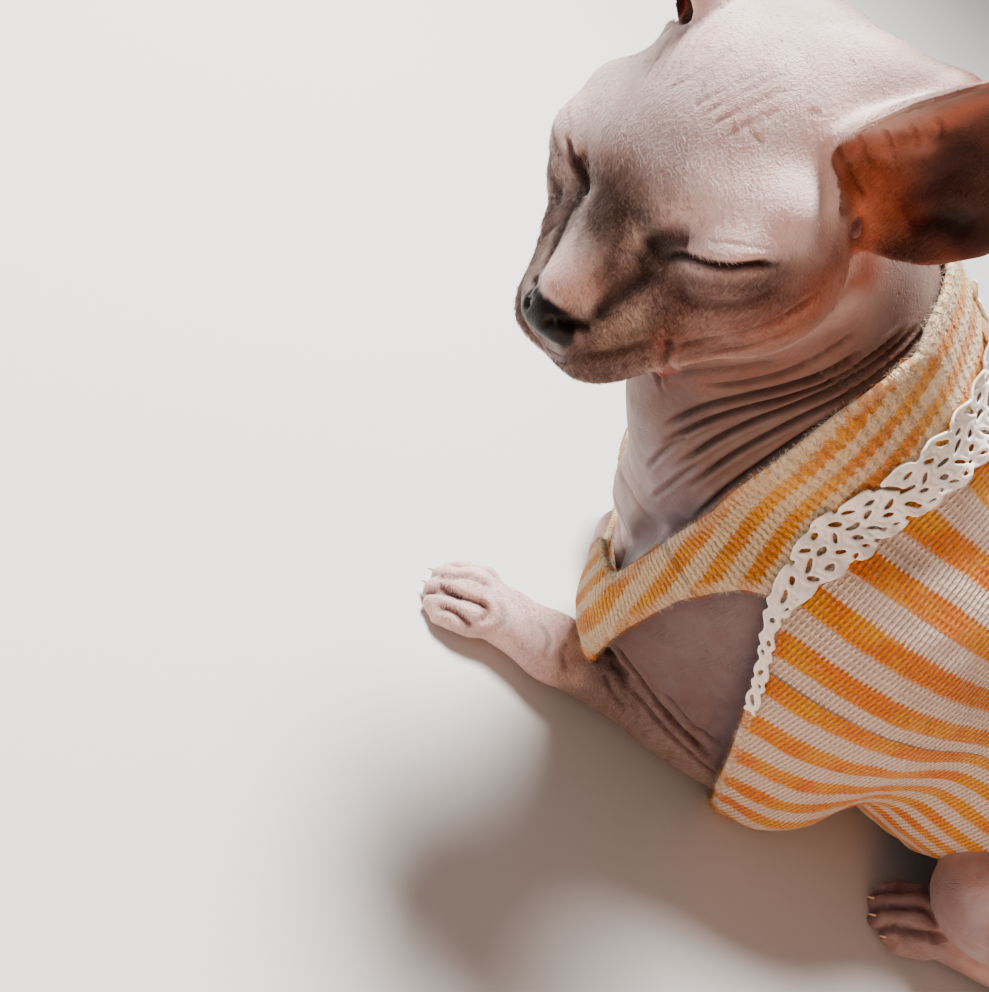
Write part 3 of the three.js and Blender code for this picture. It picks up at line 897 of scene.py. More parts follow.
# Lines drawn on the skin


@dataclass(frozen=True)
class Stroke:
    """A line on the skin, given by spots of the picture that are cast onto it."""

    spots: tuple
    width: float
    depth: float = 0.0
    lip: float = 0.0
    mirrored: bool = False


@dataclass(frozen=True)
class Mark:
    """A soft-edged colour along a line on the skin: the skin's own colour, painted shade, a painted highlight
    or a painted warm glow.
    """

    spots: tuple
    width: float
    tone: tuple[float, float, float]
    strength: float = 1.0
    mirrored: bool = True


@dataclass
class Caster:
    """Casts spots of the picture onto a surface."""

    lens: Lens
    head: HeadFrame
    surface: BVHTree

    def line(self, spots: tuple, spacing: float = 1.0) -> np.ndarray:
        """Casts a line of spots onto the surface.

        Args:
            spots: Spots of the picture.
            spacing: How far apart the line's points lie, in millimetres.

        Returns:
            The line's points in the cat's millimetres, few where few spots hit.
        """
        hits = []
        for x, y in spots:
            origin, aim = self.lens.ray(x, y)
            hit = self.surface.ray_cast(origin, aim)[0]
            if hit is not None:
                hits.append(to_cat(np.array(hit)))
        points = np.array(hits).reshape(-1, 3)
        if len(points) < 3:
            return points
        length = np.linalg.norm(np.diff(points, axis=0), axis=1).sum()
        return self.pressed(catmull(points, max(4, int(length / spacing))))

    def pressed(self, points: np.ndarray) -> np.ndarray:
        """The nearest places on the surface."""
        out = [self.surface.find_nearest(Vector(p))[0] for p in to_frame(points)]
        return to_cat(np.array([list(p) for p in out]))

    def across(self, line: np.ndarray) -> np.ndarray:
        """The same line on the other side of the head."""
        inner = self.head.inside(line) * (-1, 1, 1)
        return self.pressed(self.head.outside(inner))

    def drawn(self, line: "Stroke | Mark | Plush", spacing: float = 1.0, fewest: int = 2) -> list[np.ndarray]:
        """Casts a line, and its mirror image where it has one.

        Args:
            line: The line, with its spots.
            spacing: How far apart its points lie, in millimetres.
            fewest: With fewer points than this it is left out.

        Returns:
            No line, one or two.
        """
        cast = self.line(line.spots, spacing)
        if len(cast) < fewest:
            return []
        return [cast, self.across(cast)] if line.mirrored else [cast]


def line_distance(points: np.ndarray, line: np.ndarray, reach: float) -> tuple[np.ndarray, ...]:
    """Distances from a line.

    Args:
        points: Places, one a row.
        line: Points of the line.
        reach: How far away a place may lie.

    Returns:
        The numbers of the places within reach, their distances, and how far along the line they lie,
        from 0 to 1.
    """
    near = np.nonzero(np.all((points > line.min(0) - reach) & (points < line.max(0) + reach), axis=1))[0]
    p = points[near]
    best = np.full(len(near), 1e9)
    share = np.zeros(len(near))
    if len(line) == 1:
        best = np.linalg.norm(p - line[0], axis=1)
    for i in range(len(line) - 1):
        along = line[i + 1] - line[i]
        t = np.clip((p - line[i]) @ along / max(along @ along, 1e-9), 0, 1)
        d = np.linalg.norm(p - line[i] - t[:, None] * along, axis=1)
        closer = d < best
        best = np.where(closer, d, best)
        share = np.where(closer, (i + t) / (len(line) - 1), share)
    close = best < reach
    return near[close], best[close], share[close]


# Finishes


# What a shader socket takes.
Value = bpy.types.NodeSocket | float | tuple


@dataclass
class Graph:
    """Places shader nodes in one tree."""

    tree: bpy.types.NodeTree

    def add(
        self, kind: str, values: dict | None = None, **settings: str | bool | bpy.types.NodeTree
    ) -> bpy.types.Node:
        """Adds a node.

        Args:
            kind: The node's type.
            values: What goes into its sockets, by name or number: a socket to link or a plain value.
            **settings: The node's own settings.

        Returns:
            The new node.
        """
        node = self.tree.nodes.new(kind)
        for key, value in settings.items():
            setattr(node, key, value)
        self.fill(node, values or {})
        return node

    def fill(self, node: bpy.types.Node, values: dict) -> None:
        """Fills a node's sockets.

        Args:
            node: The node.
            values: What goes into its sockets, by name or number: a socket to link or a plain value.
        """
        for key, value in values.items():
            if isinstance(value, bpy.types.NodeSocket):
                self.tree.links.new(value, node.inputs[key])
            else:
                node.inputs[key].default_value = value

    def math(
        self, operation: str, first: Value, second: Value = 0.0, clamp: bool = False
    ) -> bpy.types.NodeSocket:
        """Reckons with two numbers."""
        values = {0: first, 1: second}
        return self.add("ShaderNodeMath", values, operation=operation, use_clamp=clamp).outputs[0]

    def times(self, first: Value, second: Value) -> bpy.types.NodeSocket:
        """Multiplies two numbers."""
        return self.math("MULTIPLY", first, second)

    def plus(self, first: Value, second: Value) -> bpy.types.NodeSocket:
        """Adds two numbers."""
        return self.math("ADD", first, second)

    def minus(self, first: Value, second: Value) -> bpy.types.NodeSocket:
        """Takes the second number from the first."""
        return self.math("SUBTRACT", first, second)

    def where(self) -> bpy.types.NodeSocket:
        """The place on the piece, in metres."""
        return self.add("ShaderNodeTexCoord").outputs["Object"]

    def bump(self, height: Value, distance: float, strength: float) -> bpy.types.NodeSocket:
        """Turns heights into normals."""
        values = {"Height": height, "Distance": distance, "Strength": strength}
        return self.add("ShaderNodeBump", values).outputs[0]

    def step(self, value: Value, low: float, high: float) -> bpy.types.NodeSocket:
        """Rises smoothly from 0 at low to 1 at high."""
        values = {"Value": value, "From Min": low, "From Max": high}
        return self.add("ShaderNodeMapRange", values, interpolation_type="SMOOTHSTEP").outputs[0]

    def mix(self, share: Value, first: Value, second: Value, blend: str = "MIX") -> bpy.types.NodeSocket:
        """Mixes two colours."""
        values = {0: share, 6: first, 7: second}
        return self.add("ShaderNodeMix", values, data_type="RGBA", blend_type=blend).outputs[2]

    def attribute(self, name: str, colour: bool = False) -> bpy.types.NodeSocket:
        """Reads what is stored on the mesh."""
        node = self.add("ShaderNodeAttribute", attribute_name=name)
        return node.outputs["Color" if colour else "Fac"]

    def noise(
        self, vector: Value, scale: float, detail: float = 3.0, roughness: float = 0.55
    ) -> bpy.types.NodeSocket:
        """Lumpy noise from 0 to 1."""
        values = {"Vector": vector, "Scale": scale, "Detail": detail, "Roughness": roughness}
        return self.add("ShaderNodeTexNoise", values).outputs["Fac"]


@dataclass(frozen=True)
class Finish:
    """How a surface looks. Each kind says what goes into the shader."""

    name: str

    def material(self) -> bpy.types.Material:
        """Makes the material once.

        Returns:
            The material, or the one of this name that is already there.
        """
        found = bpy.data.materials.get(self.name)
        if found:
            return found
        material = bpy.data.materials.new(self.name)
        material.use_nodes = True
        graph = Graph(material.node_tree)
        graph.fill(material.node_tree.nodes["Principled BSDF"], self.values(graph))
        return material

    def values(self, graph: Graph) -> dict:
        """What goes into the shader's own sockets; none here."""
        return {}


def group_sockets(
    tree: bpy.types.NodeTree, inputs: tuple, outputs: tuple
) -> tuple[bpy.types.Node, bpy.types.Node]:
    """Gives a node group its named sockets.

    Args:
        tree: The group.
        inputs: Pairs of name and socket type.
        outputs: Pairs of name and socket type.

    Returns:
        The group's input and output nodes.
    """
    for way, sockets in (("INPUT", inputs), ("OUTPUT", outputs)):
        for name, kind in sockets:
            tree.interface.new_socket(name=name, in_out=way, socket_type=kind)
    return tree.nodes.new("NodeGroupInput"), tree.nodes.new("NodeGroupOutput")


class SkinGrain:
    """Fine wrinkles, pores and mottling of bare skin, as a node group."""

    name = "skin_grain"

    @classmethod
    def tree(cls) -> bpy.types.NodeTree:
        """Makes the group once.

        Returns:
            The group, or the one that is already there.
        """
        found = bpy.data.node_groups.get(cls.name)
        if found:
            return found
        tree = bpy.data.node_groups.new(cls.name, "ShaderNodeTree")
        inputs = (("Vector", "NodeSocketVector"), ("Wrinkle", "NodeSocketFloat"), ("Fuzz", "NodeSocketFloat"))
        outputs = tuple((name, "NodeSocketFloat") for name in ("Height", "Valley", "Mottle", "Hair"))
        start, end = group_sockets(tree, inputs, outputs)
        graph = Graph(tree)
        vector = start.outputs["Vector"]
        warp = graph.add("ShaderNodeTexNoise", {"Vector": vector, "Scale": 160.0, "Detail": 3.0})
        halved = {0: warp.outputs["Color"], 1: (0.5, 0.5, 0.5)}
        shift = graph.add("ShaderNodeVectorMath", halved, operation="SUBTRACT")
        small = graph.add("ShaderNodeVectorMath", {0: shift.outputs[0], "Scale": 0.004}, operation="SCALE")
        bent = graph.add("ShaderNodeVectorMath", {0: vector, 1: small.outputs[0]}, operation="ADD").outputs[0]
        lines = []
        for scale, turn, stretch in ((520.0, (0.4, 0.9, 0.2), 0.22), (900.0, (1.2, -0.4, 0.9), 0.3)):
            along = {"Vector": bent, "Rotation": turn, "Scale": (1.0, 1.0, stretch)}
            run = graph.add("ShaderNodeMapping", along)
            fold = graph.math("ABSOLUTE", graph.minus(graph.noise(run.outputs[0], scale, 2.0), 0.5))
            lines.append(graph.minus(1.0, graph.step(fold, 0.0, 0.035)))
        patchy = graph.step(graph.noise(vector, 90.0, 2.0), 0.4, 0.65)
        valley = graph.times(graph.plus(lines[0], graph.times(lines[1], 0.6)), patchy)
        valley = graph.math("MULTIPLY", valley, start.outputs["Wrinkle"], clamp=True)
        along = {"Vector": vector, "Rotation": (0.5, 0.6, 0.3), "Scale": (1.0, 1.0, 0.22)}
        hairs = graph.add("ShaderNodeMapping", along)
        hair = graph.step(graph.noise(hairs.outputs[0], 1700.0, 2.0, 0.7), 0.42, 0.66)
        pores = graph.noise(vector, 1500.0, 2.0, 0.6)
        mottle = graph.noise(vector, 130.0, 5.0, 0.6)
        height = graph.times(graph.minus(pores, 0.5), 0.35)
        height = graph.minus(height, graph.times(valley, 0.8))
        height = graph.plus(height, graph.times(mottle, 0.9))
        height = graph.plus(height, graph.times(hair, start.outputs["Fuzz"]))
        graph.fill(end, {"Height": height, "Valley": valley, "Mottle": mottle, "Hair": hair})
        return tree


@dataclass(frozen=True)
class SkinFinish(Finish):
    """Bare skin with a bloom of down."""

    name: str = "skin"
    roughness: float = 0.52
    bump: float = 0.00035
    scatter: float = 0.22
    sheen: float = 0.2

    def values(self, graph: Graph) -> dict:
        """Reads tone, creases and down from the mesh, and darkens creases and the valleys of fine wrinkles as
        painted shade.

        Args:
            graph: The material's nodes.

        Returns:
            A socket or a plain value for each of the shader's sockets that are used.
        """
        down = graph.attribute("down")
        grain = graph.add("ShaderNodeGroup", node_tree=SkinGrain.tree())
        graph.fill(grain, {"Vector": graph.where(), "Wrinkle": graph.attribute("fine"), "Fuzz": down})
        tone = graph.attribute("tone", colour=True)
        mottle = graph.step(grain.outputs["Mottle"], 0.35, 0.68)
        colour = graph.mix(graph.times(mottle, 0.45), tone, (0.86, 0.66, 0.62, 1), "MULTIPLY")
        # The valleys of the fine wrinkles are darkened: painted shade.
        lines = graph.times(grain.outputs["Valley"], 0.42)
        colour = graph.mix(lines, colour, (0.62, 0.5, 0.52, 1), "MULTIPLY")
        hair = graph.times(grain.outputs["Hair"], down)
        colour = graph.mix(graph.times(hair, 0.5), colour, (0.62, 0.5, 0.42, 1))
        # Creases, toe clefts and folds are darkened: painted shade in the hollows.
        colour = graph.mix(graph.attribute("crease"), colour, (0.20, 0.095, 0.075, 1), "MULTIPLY")
        rough = graph.plus(graph.times(mottle, 0.16), self.roughness - 0.06)
        rough = graph.minus(rough, graph.times(graph.attribute("wet"), 0.06))
        return {
            "Base Color": colour,
            "Roughness": rough,
            "Normal": graph.bump(grain.outputs["Height"], self.bump, 0.8),
            "Subsurface Weight": self.scatter,
            "Subsurface Radius": (1.0, 0.38, 0.22),
            "Subsurface Scale": 0.004,
            "Sheen Weight": self.sheen,
            "Sheen Roughness": 0.45,
            "Sheen Tint": (1.0, 0.93, 0.9, 1),
            "Specular IOR Level": 0.35,
        }


class Tone(Enum):
    """Colours of the skin, in linear light."""

    PINK = (0.70, 0.46, 0.41)
    LILAC = (0.43, 0.32, 0.31)
    MAUVE = (0.29, 0.21, 0.21)
    GREY = (0.27, 0.205, 0.19)
    BROWN = (0.20, 0.135, 0.11)
    UMBER = (0.10, 0.068, 0.05)
    INK = (0.009, 0.006, 0.005)
    TAN = (0.44, 0.33, 0.25)


# The skin

# Forms in the head's own frame.
FACE = Egg((0, 4, -10), (38, 38, 36))
NOSE = (0, -32.5, -18.5)
SLIT = (
    (657.5, 263.6), (668, 256.4), (679, 255), (693, 258.3), (712, 264.5), (731, 266.7), (749.5, 265),
    (765, 263.6), (778, 264.5),
)
TEAR = ((657.5, 263.6), (647, 274), (634, 282), (620, 292), (606, 305), (594, 318))
CREASES = (
    Stroke(((543, 349), (556, 356), (580, 356), (610, 352), (640, 345), (662, 336)), 0.9, 0.7, 0.2, True),
    Stroke(((556, 321), (566, 323), (580, 325), (592, 327)), 0.9, 1.1, 0.2, True),
    Stroke(((546, 318), (549, 323), (551, 326)), 1.3, 1.6, 0.2, True),
    Stroke(((423, 573), (437, 577), (450, 580), (467, 577)), 1.0, 0.9, 0.3),
    Stroke(((425, 581), (437, 584), (450, 591), (464, 600)), 1.1, 1.3, 0.4),
    Stroke(((436, 608), (450, 610), (463, 618), (473, 628)), 1.1, 1.3, 0.4),
    Stroke(((480, 600), (487, 612), (481, 624), (478, 640)), 1.2, 0.9, 0.4),
    Stroke(((497, 600), (503, 615), (499, 632)), 1.2, 0.5, 0.3),
    Stroke(((567, 640), (562, 655), (568, 672)), 1.2, 0.8, 0.4),
    Stroke(((585, 638), (594, 652), (600, 664)), 1.2, 0.7, 0.4),
    Stroke(((612, 650), (618, 668), (630, 690)), 1.2, 0.6, 0.3),
    Stroke(((596, 618), (612, 640), (632, 668), (654, 698), (680, 728), (716, 762)), 0.8, 1.5, 0.5),
    Stroke(((628, 684), (648, 708), (672, 736), (700, 762), (722, 780)), 0.7, 0.9, 0.35),
    Stroke(((660, 690), (684, 716), (706, 734), (724, 746)), 0.7, 0.8, 0.3),
    Stroke(((604, 672), (612, 690), (628, 712)), 0.8, 0.6, 0.3),
    Stroke(((540, 622), (548, 640), (544, 660)), 0.9, 0.5, 0.3),
    Stroke(SLIT, 0.85, 1.6, 0.1),
    Stroke(((566, 131), (571.7, 152.8), (581, 174.7), (585.8, 184), (583, 192)), 0.7, 1.2, 0.3),
    Stroke(((583, 192), (578, 206), (562.4, 218.3), (546.8, 230.8), (538, 243)), 1.2, 0.9, 0.3),
    Stroke(((551.5, 174.7), (556, 187), (562.4, 199.6)), 0.7, 0.5),
    Stroke(TEAR, 1.6, 1.0, 0.3, True),
    Stroke(((648, 250), (660, 243), (676, 240), (690, 243)), 2.4, 1.6, 0.0, True),
    Stroke(((704, 240), (737, 244), (776, 252)), 0.5, 0.2, 0.0, True),
    Stroke(((678, 276), (686, 294), (708, 303), (737, 304), (765, 296), (785, 279)), 1.3, 0.7, 0.25, True),
    Stroke(((668, 337), (671, 350), (668, 364), (664, 378)), 0.9, 1.1, 0.3, True),
    Stroke(
        ((662, 346), (690, 343), (718, 338), (745, 332), (768, 324), (799, 306), (824, 287)),
        0.9, 0.5, 0.3, True,
    ),
    Stroke(((675, 359), (700, 357), (718, 351), (748, 346), (774, 337), (812, 315)), 0.8, 0.45, 0.25, True),
    Stroke(((647, 381), (675, 376), (700, 371), (750, 365), (781, 359)), 0.9, 0.5, 0.3, True),
    Stroke(((750, 112), (749, 126), (754, 136), (766, 146)), 0.4, 0.18, 0.0, True),
    Stroke(((738, 120), (734, 131), (736, 142)), 0.4, 0.1, 0.0, True),
    Stroke(((688, 112), (712, 96), (744, 80), (776, 62)), 0.4, 0.22, 0.0, True),
    Stroke(((700, 118), (728, 100), (760, 84), (794, 70)), 0.4, 0.26, 0.0, True),
    Stroke(((706, 130), (738, 111), (770, 96), (804, 84)), 0.4, 0.26, 0.0, True),
    Stroke(((664, 92), (690, 78), (716, 62), (738, 46)), 0.4, 0.2, 0.0, True),
    Stroke(((722, 140), (752, 122), (786, 108)), 0.4, 0.22, 0.0, True),
    Stroke(((807, 115), (814, 112), (821, 114)), 0.6, 0.3, 0.1, True),
    Stroke(((660, 428), (700, 408), (745, 396), (790, 385), (835, 368), (868, 345)), 0.8, 1.5, 0.5),
    Stroke(
        ((654, 447), (700, 424), (745, 408), (790, 396), (835, 379), (880, 350), (912, 322)),
        0.8, 1.8, 0.6,
    ),
    Stroke(
        ((672, 470), (712, 442), (756, 420), (800, 402), (845, 382), (892, 350), (922, 322)),
        0.85, 2.0, 0.7,
    ),
    Stroke(
        ((684, 492), (722, 462), (766, 436), (808, 414), (852, 390), (896, 358), (930, 324)),
        0.8, 1.8, 0.6,
    ),
    Stroke(
        ((690, 523), (724, 491), (770, 458), (812, 430), (856, 404), (900, 372), (934, 334)),
        0.8, 1.6, 0.6,
    ),
    Stroke(((700, 386), (745, 382), (790, 370), (830, 350), (862, 326)), 0.7, 0.9, 0.4),
    Stroke(((836, 142), (846, 160), (858, 184), (868, 204)), 0.45, 0.7, 0.2, True),
    Stroke(((858, 134), (866, 152), (872, 172)), 0.4, 0.5, 0.2, True),
    Stroke(((882, 128), (892, 146), (896, 164)), 0.45, 0.6, 0.2, True),
    Stroke(((910, 122), (918, 138), (916, 152)), 0.45, 0.5, 0.2, True),
    Stroke(((938, 116), (944, 130), (938, 144)), 0.45, 0.5, 0.2, True),
    Stroke(((985, 140), (950, 170), (918, 196), (896, 210)), 3.4, 1.1, 0.0, True),
    Stroke(((905, 222), (940, 218), (975, 232)), 2.2, 1.1, 0.5, True),
    Stroke(((645, 470), (668, 448), (690, 436)), 0.8, 0.7, 0.3),
    Stroke(((650, 500), (676, 480), (700, 462)), 0.8, 0.6, 0.3),
)
# The root of the near ear, in pixels of the picture.
EAR_ROOT = ((826, 136), (834, 160), (840, 185), (846, 208), (856, 230), (868, 248))
# Where the skin is moved: middle, width and push, in the cat's millimetres.
SWELLS = (
    ((12, 84, 108), 24, (0.0, -5.0, -1.5)),
    ((14, 70, 128), 18, (0.0, -1.5, 0.0)),
    ((45.0, 73.6, 188.4), 3.0, (-0.6, -1.1, -0.9)),
    ((6, 97, 62), 19, (0.0, -5.5, 0.0)),
)
# Colours laid along lines on the skin. Some are the skin's own colours; others are painted shade in hollows
# and on the sides away from the light, painted highlights on lit ridges, and a painted warm glow of light
# through the ear and reflected from warm surroundings.
MARKS = (
    # The next two marks: painted shade under the jaw and on the throat below it.
    Mark(((680, 350), (740, 346), (790, 330), (826, 312)), 11, (0.25, 0.115, 0.085), 0.95),
    Mark(((664, 384), (720, 378), (780, 366), (830, 342)), 7, (0.22, 0.105, 0.075), 0.9),
    # Painted shade on the lower cheek, warmed by a painted glow of reflected orange light.
    Mark(((745, 318), (785, 308), (815, 292)), 7, (0.26, 0.07, 0.035), 0.85),
    # A painted glow of reflected orange light on the cheek.
    Mark(((812, 300), (840, 282), (856, 268)), 6, (0.52, 0.16, 0.08), 0.75),
    Mark(((534, 292), (534, 312), (540, 334)), 4.2, Tone.INK.value, 1.0),
    Mark(((546, 300), (558, 316), (574, 322), (586, 324)), 3.4, Tone.INK.value, 1.0),
    Mark(((586, 324), (594, 326)), 1.6, Tone.INK.value, 0.9),
    Mark(((640, 120), (690, 150), (735, 175)), 16, Tone.LILAC.value, 0.6),
    # The next four marks: the dark mask between the brows and beside the nose bridge, partly its own dark
    # down, partly painted shade.
    Mark(((592, 150), (620, 172), (650, 185), (690, 192)), 9, Tone.GREY.value, 0.75),
    Mark(((604, 190), (628, 200), (660, 208), (692, 214)), 6, (0.26, 0.17, 0.14), 0.85),
    Mark(((608, 226), (622, 238), (650, 246)), 5.5, (0.095, 0.052, 0.038), 0.9),
    Mark(((606, 215), (608, 240), (606, 262), (612, 282)), 6.0, (0.088, 0.048, 0.037), 0.95),
    Mark(((640, 262), (622, 276), (606, 292)), 4.0, Tone.BROWN.value, 0.6),
    # The next two marks: painted shade in the pit at the eye's inner corner.
    Mark(((640, 225), (658, 240), (682, 238)), 4.2, (0.03, 0.022, 0.016), 0.95),
    Mark(((690, 232), (706, 236)), 3.4, Tone.UMBER.value, 0.6),
    # The next three marks: painted highlights on the lit brow above the eye and along the top of the nose
    # bridge.
    Mark(((722, 214), (760, 222), (802, 226)), 9, (0.86, 0.66, 0.63), 0.97),
    Mark(((730, 192), (775, 190), (812, 196)), 9, (0.86, 0.68, 0.65), 0.8),
    Mark(((586, 203), (567, 236), (552, 268), (546, 282)), 3.3, (0.84, 0.66, 0.62), 1.0),
    # Painted shade with dark down along the side of the nose bridge.
    Mark(((616, 206), (618, 230), (612, 254), (604, 280)), 3.2, (0.095, 0.052, 0.04), 0.85),
    Mark(((566, 286), (584, 293)), 3.4, Tone.PINK.value, 0.7),
    Mark(((598, 316), (614, 301), (636, 286), (652, 268)), 2.2, (0.028, 0.016, 0.011), 0.95),
    # The next two marks: painted shade in the eye's inner corner and along the slit of the shut eye.
    Mark(((644, 258), (656, 262), (668, 258)), 2.0, (0.02, 0.012, 0.009), 0.95),
    Mark(SLIT, 0.75, (0.022, 0.013, 0.01), 1.0),
    # Painted shade on the side of the muzzle beside the paler whisker pad.
    Mark(((640, 326), (656, 314), (676, 298)), 5.0, (0.12, 0.065, 0.05), 0.9),
    Mark(((604, 336), (618, 326), (634, 318)), 3.2, (0.46, 0.34, 0.28), 0.9),
    # The next three marks: painted shade under the muzzle, along the mouth and in its corner.
    Mark(((548, 346), (572, 372), (605, 383), (640, 376)), 8.5, (0.115, 0.062, 0.05), 0.97),
    Mark(((575, 354), (610, 358), (646, 352)), 6, (0.10, 0.048, 0.035), 0.9),
    Mark(((662, 340), (664, 372)), 3.4, (0.24, 0.052, 0.026), 0.9),
    # The next four marks: painted shade under the eye, on the lower cheek and on the jaw; under the eye it
    # lies over the skin's own dark down.
    Mark(((680, 278), (712, 288), (742, 290), (770, 283)), 4.6, (0.115, 0.064, 0.052), 0.97),
    Mark(((680, 306), (735, 312), (775, 300)), 7, (0.15, 0.078, 0.062), 0.9),
    Mark(((700, 332), (745, 328), (790, 308)), 7, (0.22, 0.10, 0.07), 0.7),
    Mark(((700, 353), (745, 351), (785, 340)), 6, (0.165, 0.072, 0.053), 0.8),
    # A painted glow of reflected orange light on the cheek below the ear.
    Mark(((800, 322), (820, 300), (842, 276), (856, 264)), 8, (0.42, 0.14, 0.075), 0.8),
    # A painted highlight along the edge of the jaw.
    Mark(((690, 362), (730, 354), (790, 338), (830, 320)), 2.0, (0.46, 0.24, 0.18), 0.5),
    # A painted orange glow of light through the ear and reflected from warm surroundings, on the front of the
    # ear's root.
    Mark(((846, 180), (856, 215), (870, 242)), 4.5, (0.60, 0.20, 0.11), 0.9),
    *(
        Mark(((x, y), (x + 1, y + 1)), width, Tone.UMBER.value, 0.9)
        for x, y, width in (
            (571, 364, 0.7), (559, 370, 0.6), (640, 366, 0.7), (649, 366, 0.6), (626, 382, 0.7),
        )
    ),
    # The ear's upper inside: its own pinkish brown, warmed by a painted orange glow.
    Mark(((846, 150), (880, 148), (925, 136), (975, 108)), 6.0, (0.50, 0.19, 0.12), 0.95),
    # Painted shade deep in the ear's hollow.
    Mark(((918, 206), (946, 188), (976, 168)), 9, (0.07, 0.021, 0.012), 0.97),
    Mark(((866, 180), (900, 182), (925, 165)), 6, (0.33, 0.12, 0.066), 0.9),
    # The ear's lower inside: its own red, darkened as painted shade.
    Mark(((880, 222), (905, 240), (950, 258)), 6, (0.30, 0.085, 0.04), 0.95),
    # The next two marks: painted shade deep in the ear's hollow.
    Mark(((985, 150), (955, 180), (925, 205), (905, 215)), 7, (0.035, 0.009, 0.005), 0.97),
    Mark(((935, 215), (975, 225)), 8, (0.035, 0.009, 0.005), 0.95),
    Mark(((896, 204), (928, 178), (980, 134)), 3.2, (0.26, 0.085, 0.045), 0.95),
    Mark(((872, 246), (905, 262), (950, 272)), 2.4, (0.05, 0.02, 0.012), 0.8),
    # Painted shade over the fold inside the ear.
    Mark(((908, 202), (935, 178), (960, 154), (988, 130)), 5.5, (0.10, 0.03, 0.016), 0.95),
    # A painted orange glow inside the ear.
    Mark(((880, 180), (900, 190), (892, 206)), 5.0, (0.36, 0.09, 0.038), 0.85),
    # A painted orange glow on the front of the ear's root, then painted shade on a small lump there that
    # catches the sheen.
    Mark(((858, 205), (862, 220), (868, 236)), 3.6, (0.78, 0.33, 0.22), 0.85),
    Mark(((852, 224), (858, 230)), 1.6, (0.26, 0.07, 0.04), 0.95),
    Mark(((606, 334), (620, 325), (634, 318)), 2.6, (0.50, 0.38, 0.32), 0.85),
    # Painted shade deep in the ear's hollow.
    Mark(((980, 170), (988, 190)), 8, (0.06, 0.015, 0.008), 0.85),
    # A painted highlight along the lit rim of the ear, over its pale down.
    Mark(((858, 112), (900, 99), (945, 86), (988, 62)), 2.4, (0.90, 0.73, 0.68), 0.95),
    Mark(((848, 130), (880, 117), (930, 107), (985, 82)), 1.0, Tone.TAN.value, 0.85),
)


@dataclass(frozen=True)
class Fold:
    """A patch of parallel wrinkles."""

    middle: tuple[float, float, float]
    radius: float
    run: tuple[float, float, float]
    spacing: float
    depth: float
    far_side: bool = False

    def valley(self, points: np.ndarray) -> np.ndarray:
        """Finds how deep in a wrinkle each point lies.

        Args:
            points: Places, one a row.

        Returns:
            A number from 0 to 1 for each point.
        """
        share = smooth(self.radius, self.radius * 0.5, np.linalg.norm(points - self.middle, axis=1))
        if self.far_side:
            share = share * smooth(8, -6, points[:, 0])
        wander = 0.55 * noise(points, self.spacing * 2.6, 41) + 0.2 * noise(points, self.spacing, 42)
        place = points @ unit(np.array(self.run)) / self.spacing + wander
        broken = smooth(-0.35, 0.25, noise(points, self.spacing * 2.2, 43))
        return share * broken * (1 - np.abs(np.sin(math.pi * place))) ** 2.5


FOLDS = (
    Fold((-18, 98, 132), 62, (0.3, -0.72, 0.6), 9.0, 1.5, True),
    Fold((0, 112, 62), 44, (0.1, 0.1, 1.0), 10.0, 0.9),
    Fold((46, 190, 26), 30, (0.1, 1.0, -0.3), 6.5, 0.9),
    Fold((-46, 188, 26), 34, (0.1, 1.0, -0.3), 6.5, 0.9),
    Fold((-36, 140, 60), 36, (0.2, 0.4, 1.0), 8.0, 0.9),
    Fold((41, 100, 14), 15, (0.0, 1.0, 0.2), 4.6, 0.5),
    Fold((43, 146, 20), 34, (0.15, 1.0, 0.25), 5.6, 0.5),
    *both(lambda s: Fold((s * 58, 290, 44), 34, (0.1, 1.0, 0.6), 7.5, 1.0)),
    *both(lambda s: Fold((s * 52, 352, 22), 30, (0.0, 0.6, 1.0), 6.5, 0.8)),
    Fold((58, 282, 12), 15, (0.0, 1.0, 0.2), 4.6, 0.5),
    Fold((-60, 420, 9), 60, (1.0, 0.5, 0.0), 6.0, 0.35),
    Fold((-100, 330, 7), 70, (0.0, 1.0, 0.0), 5.5, 0.3),
    Fold((0, 262, 120), 50, (0.0, 1.0, 0.1), 11.0, 0.8),
)


def egg_reach(points: np.ndarray, egg: Egg) -> np.ndarray:
    """Finds how far out of an egg's middle each point lies.

    Args:
        points: Places, one a row.
        egg: The egg.

    Returns:
        A number for each point, 1 on the egg.
    """
    return np.linalg.norm((points - egg.centre) / egg.radii, axis=1)


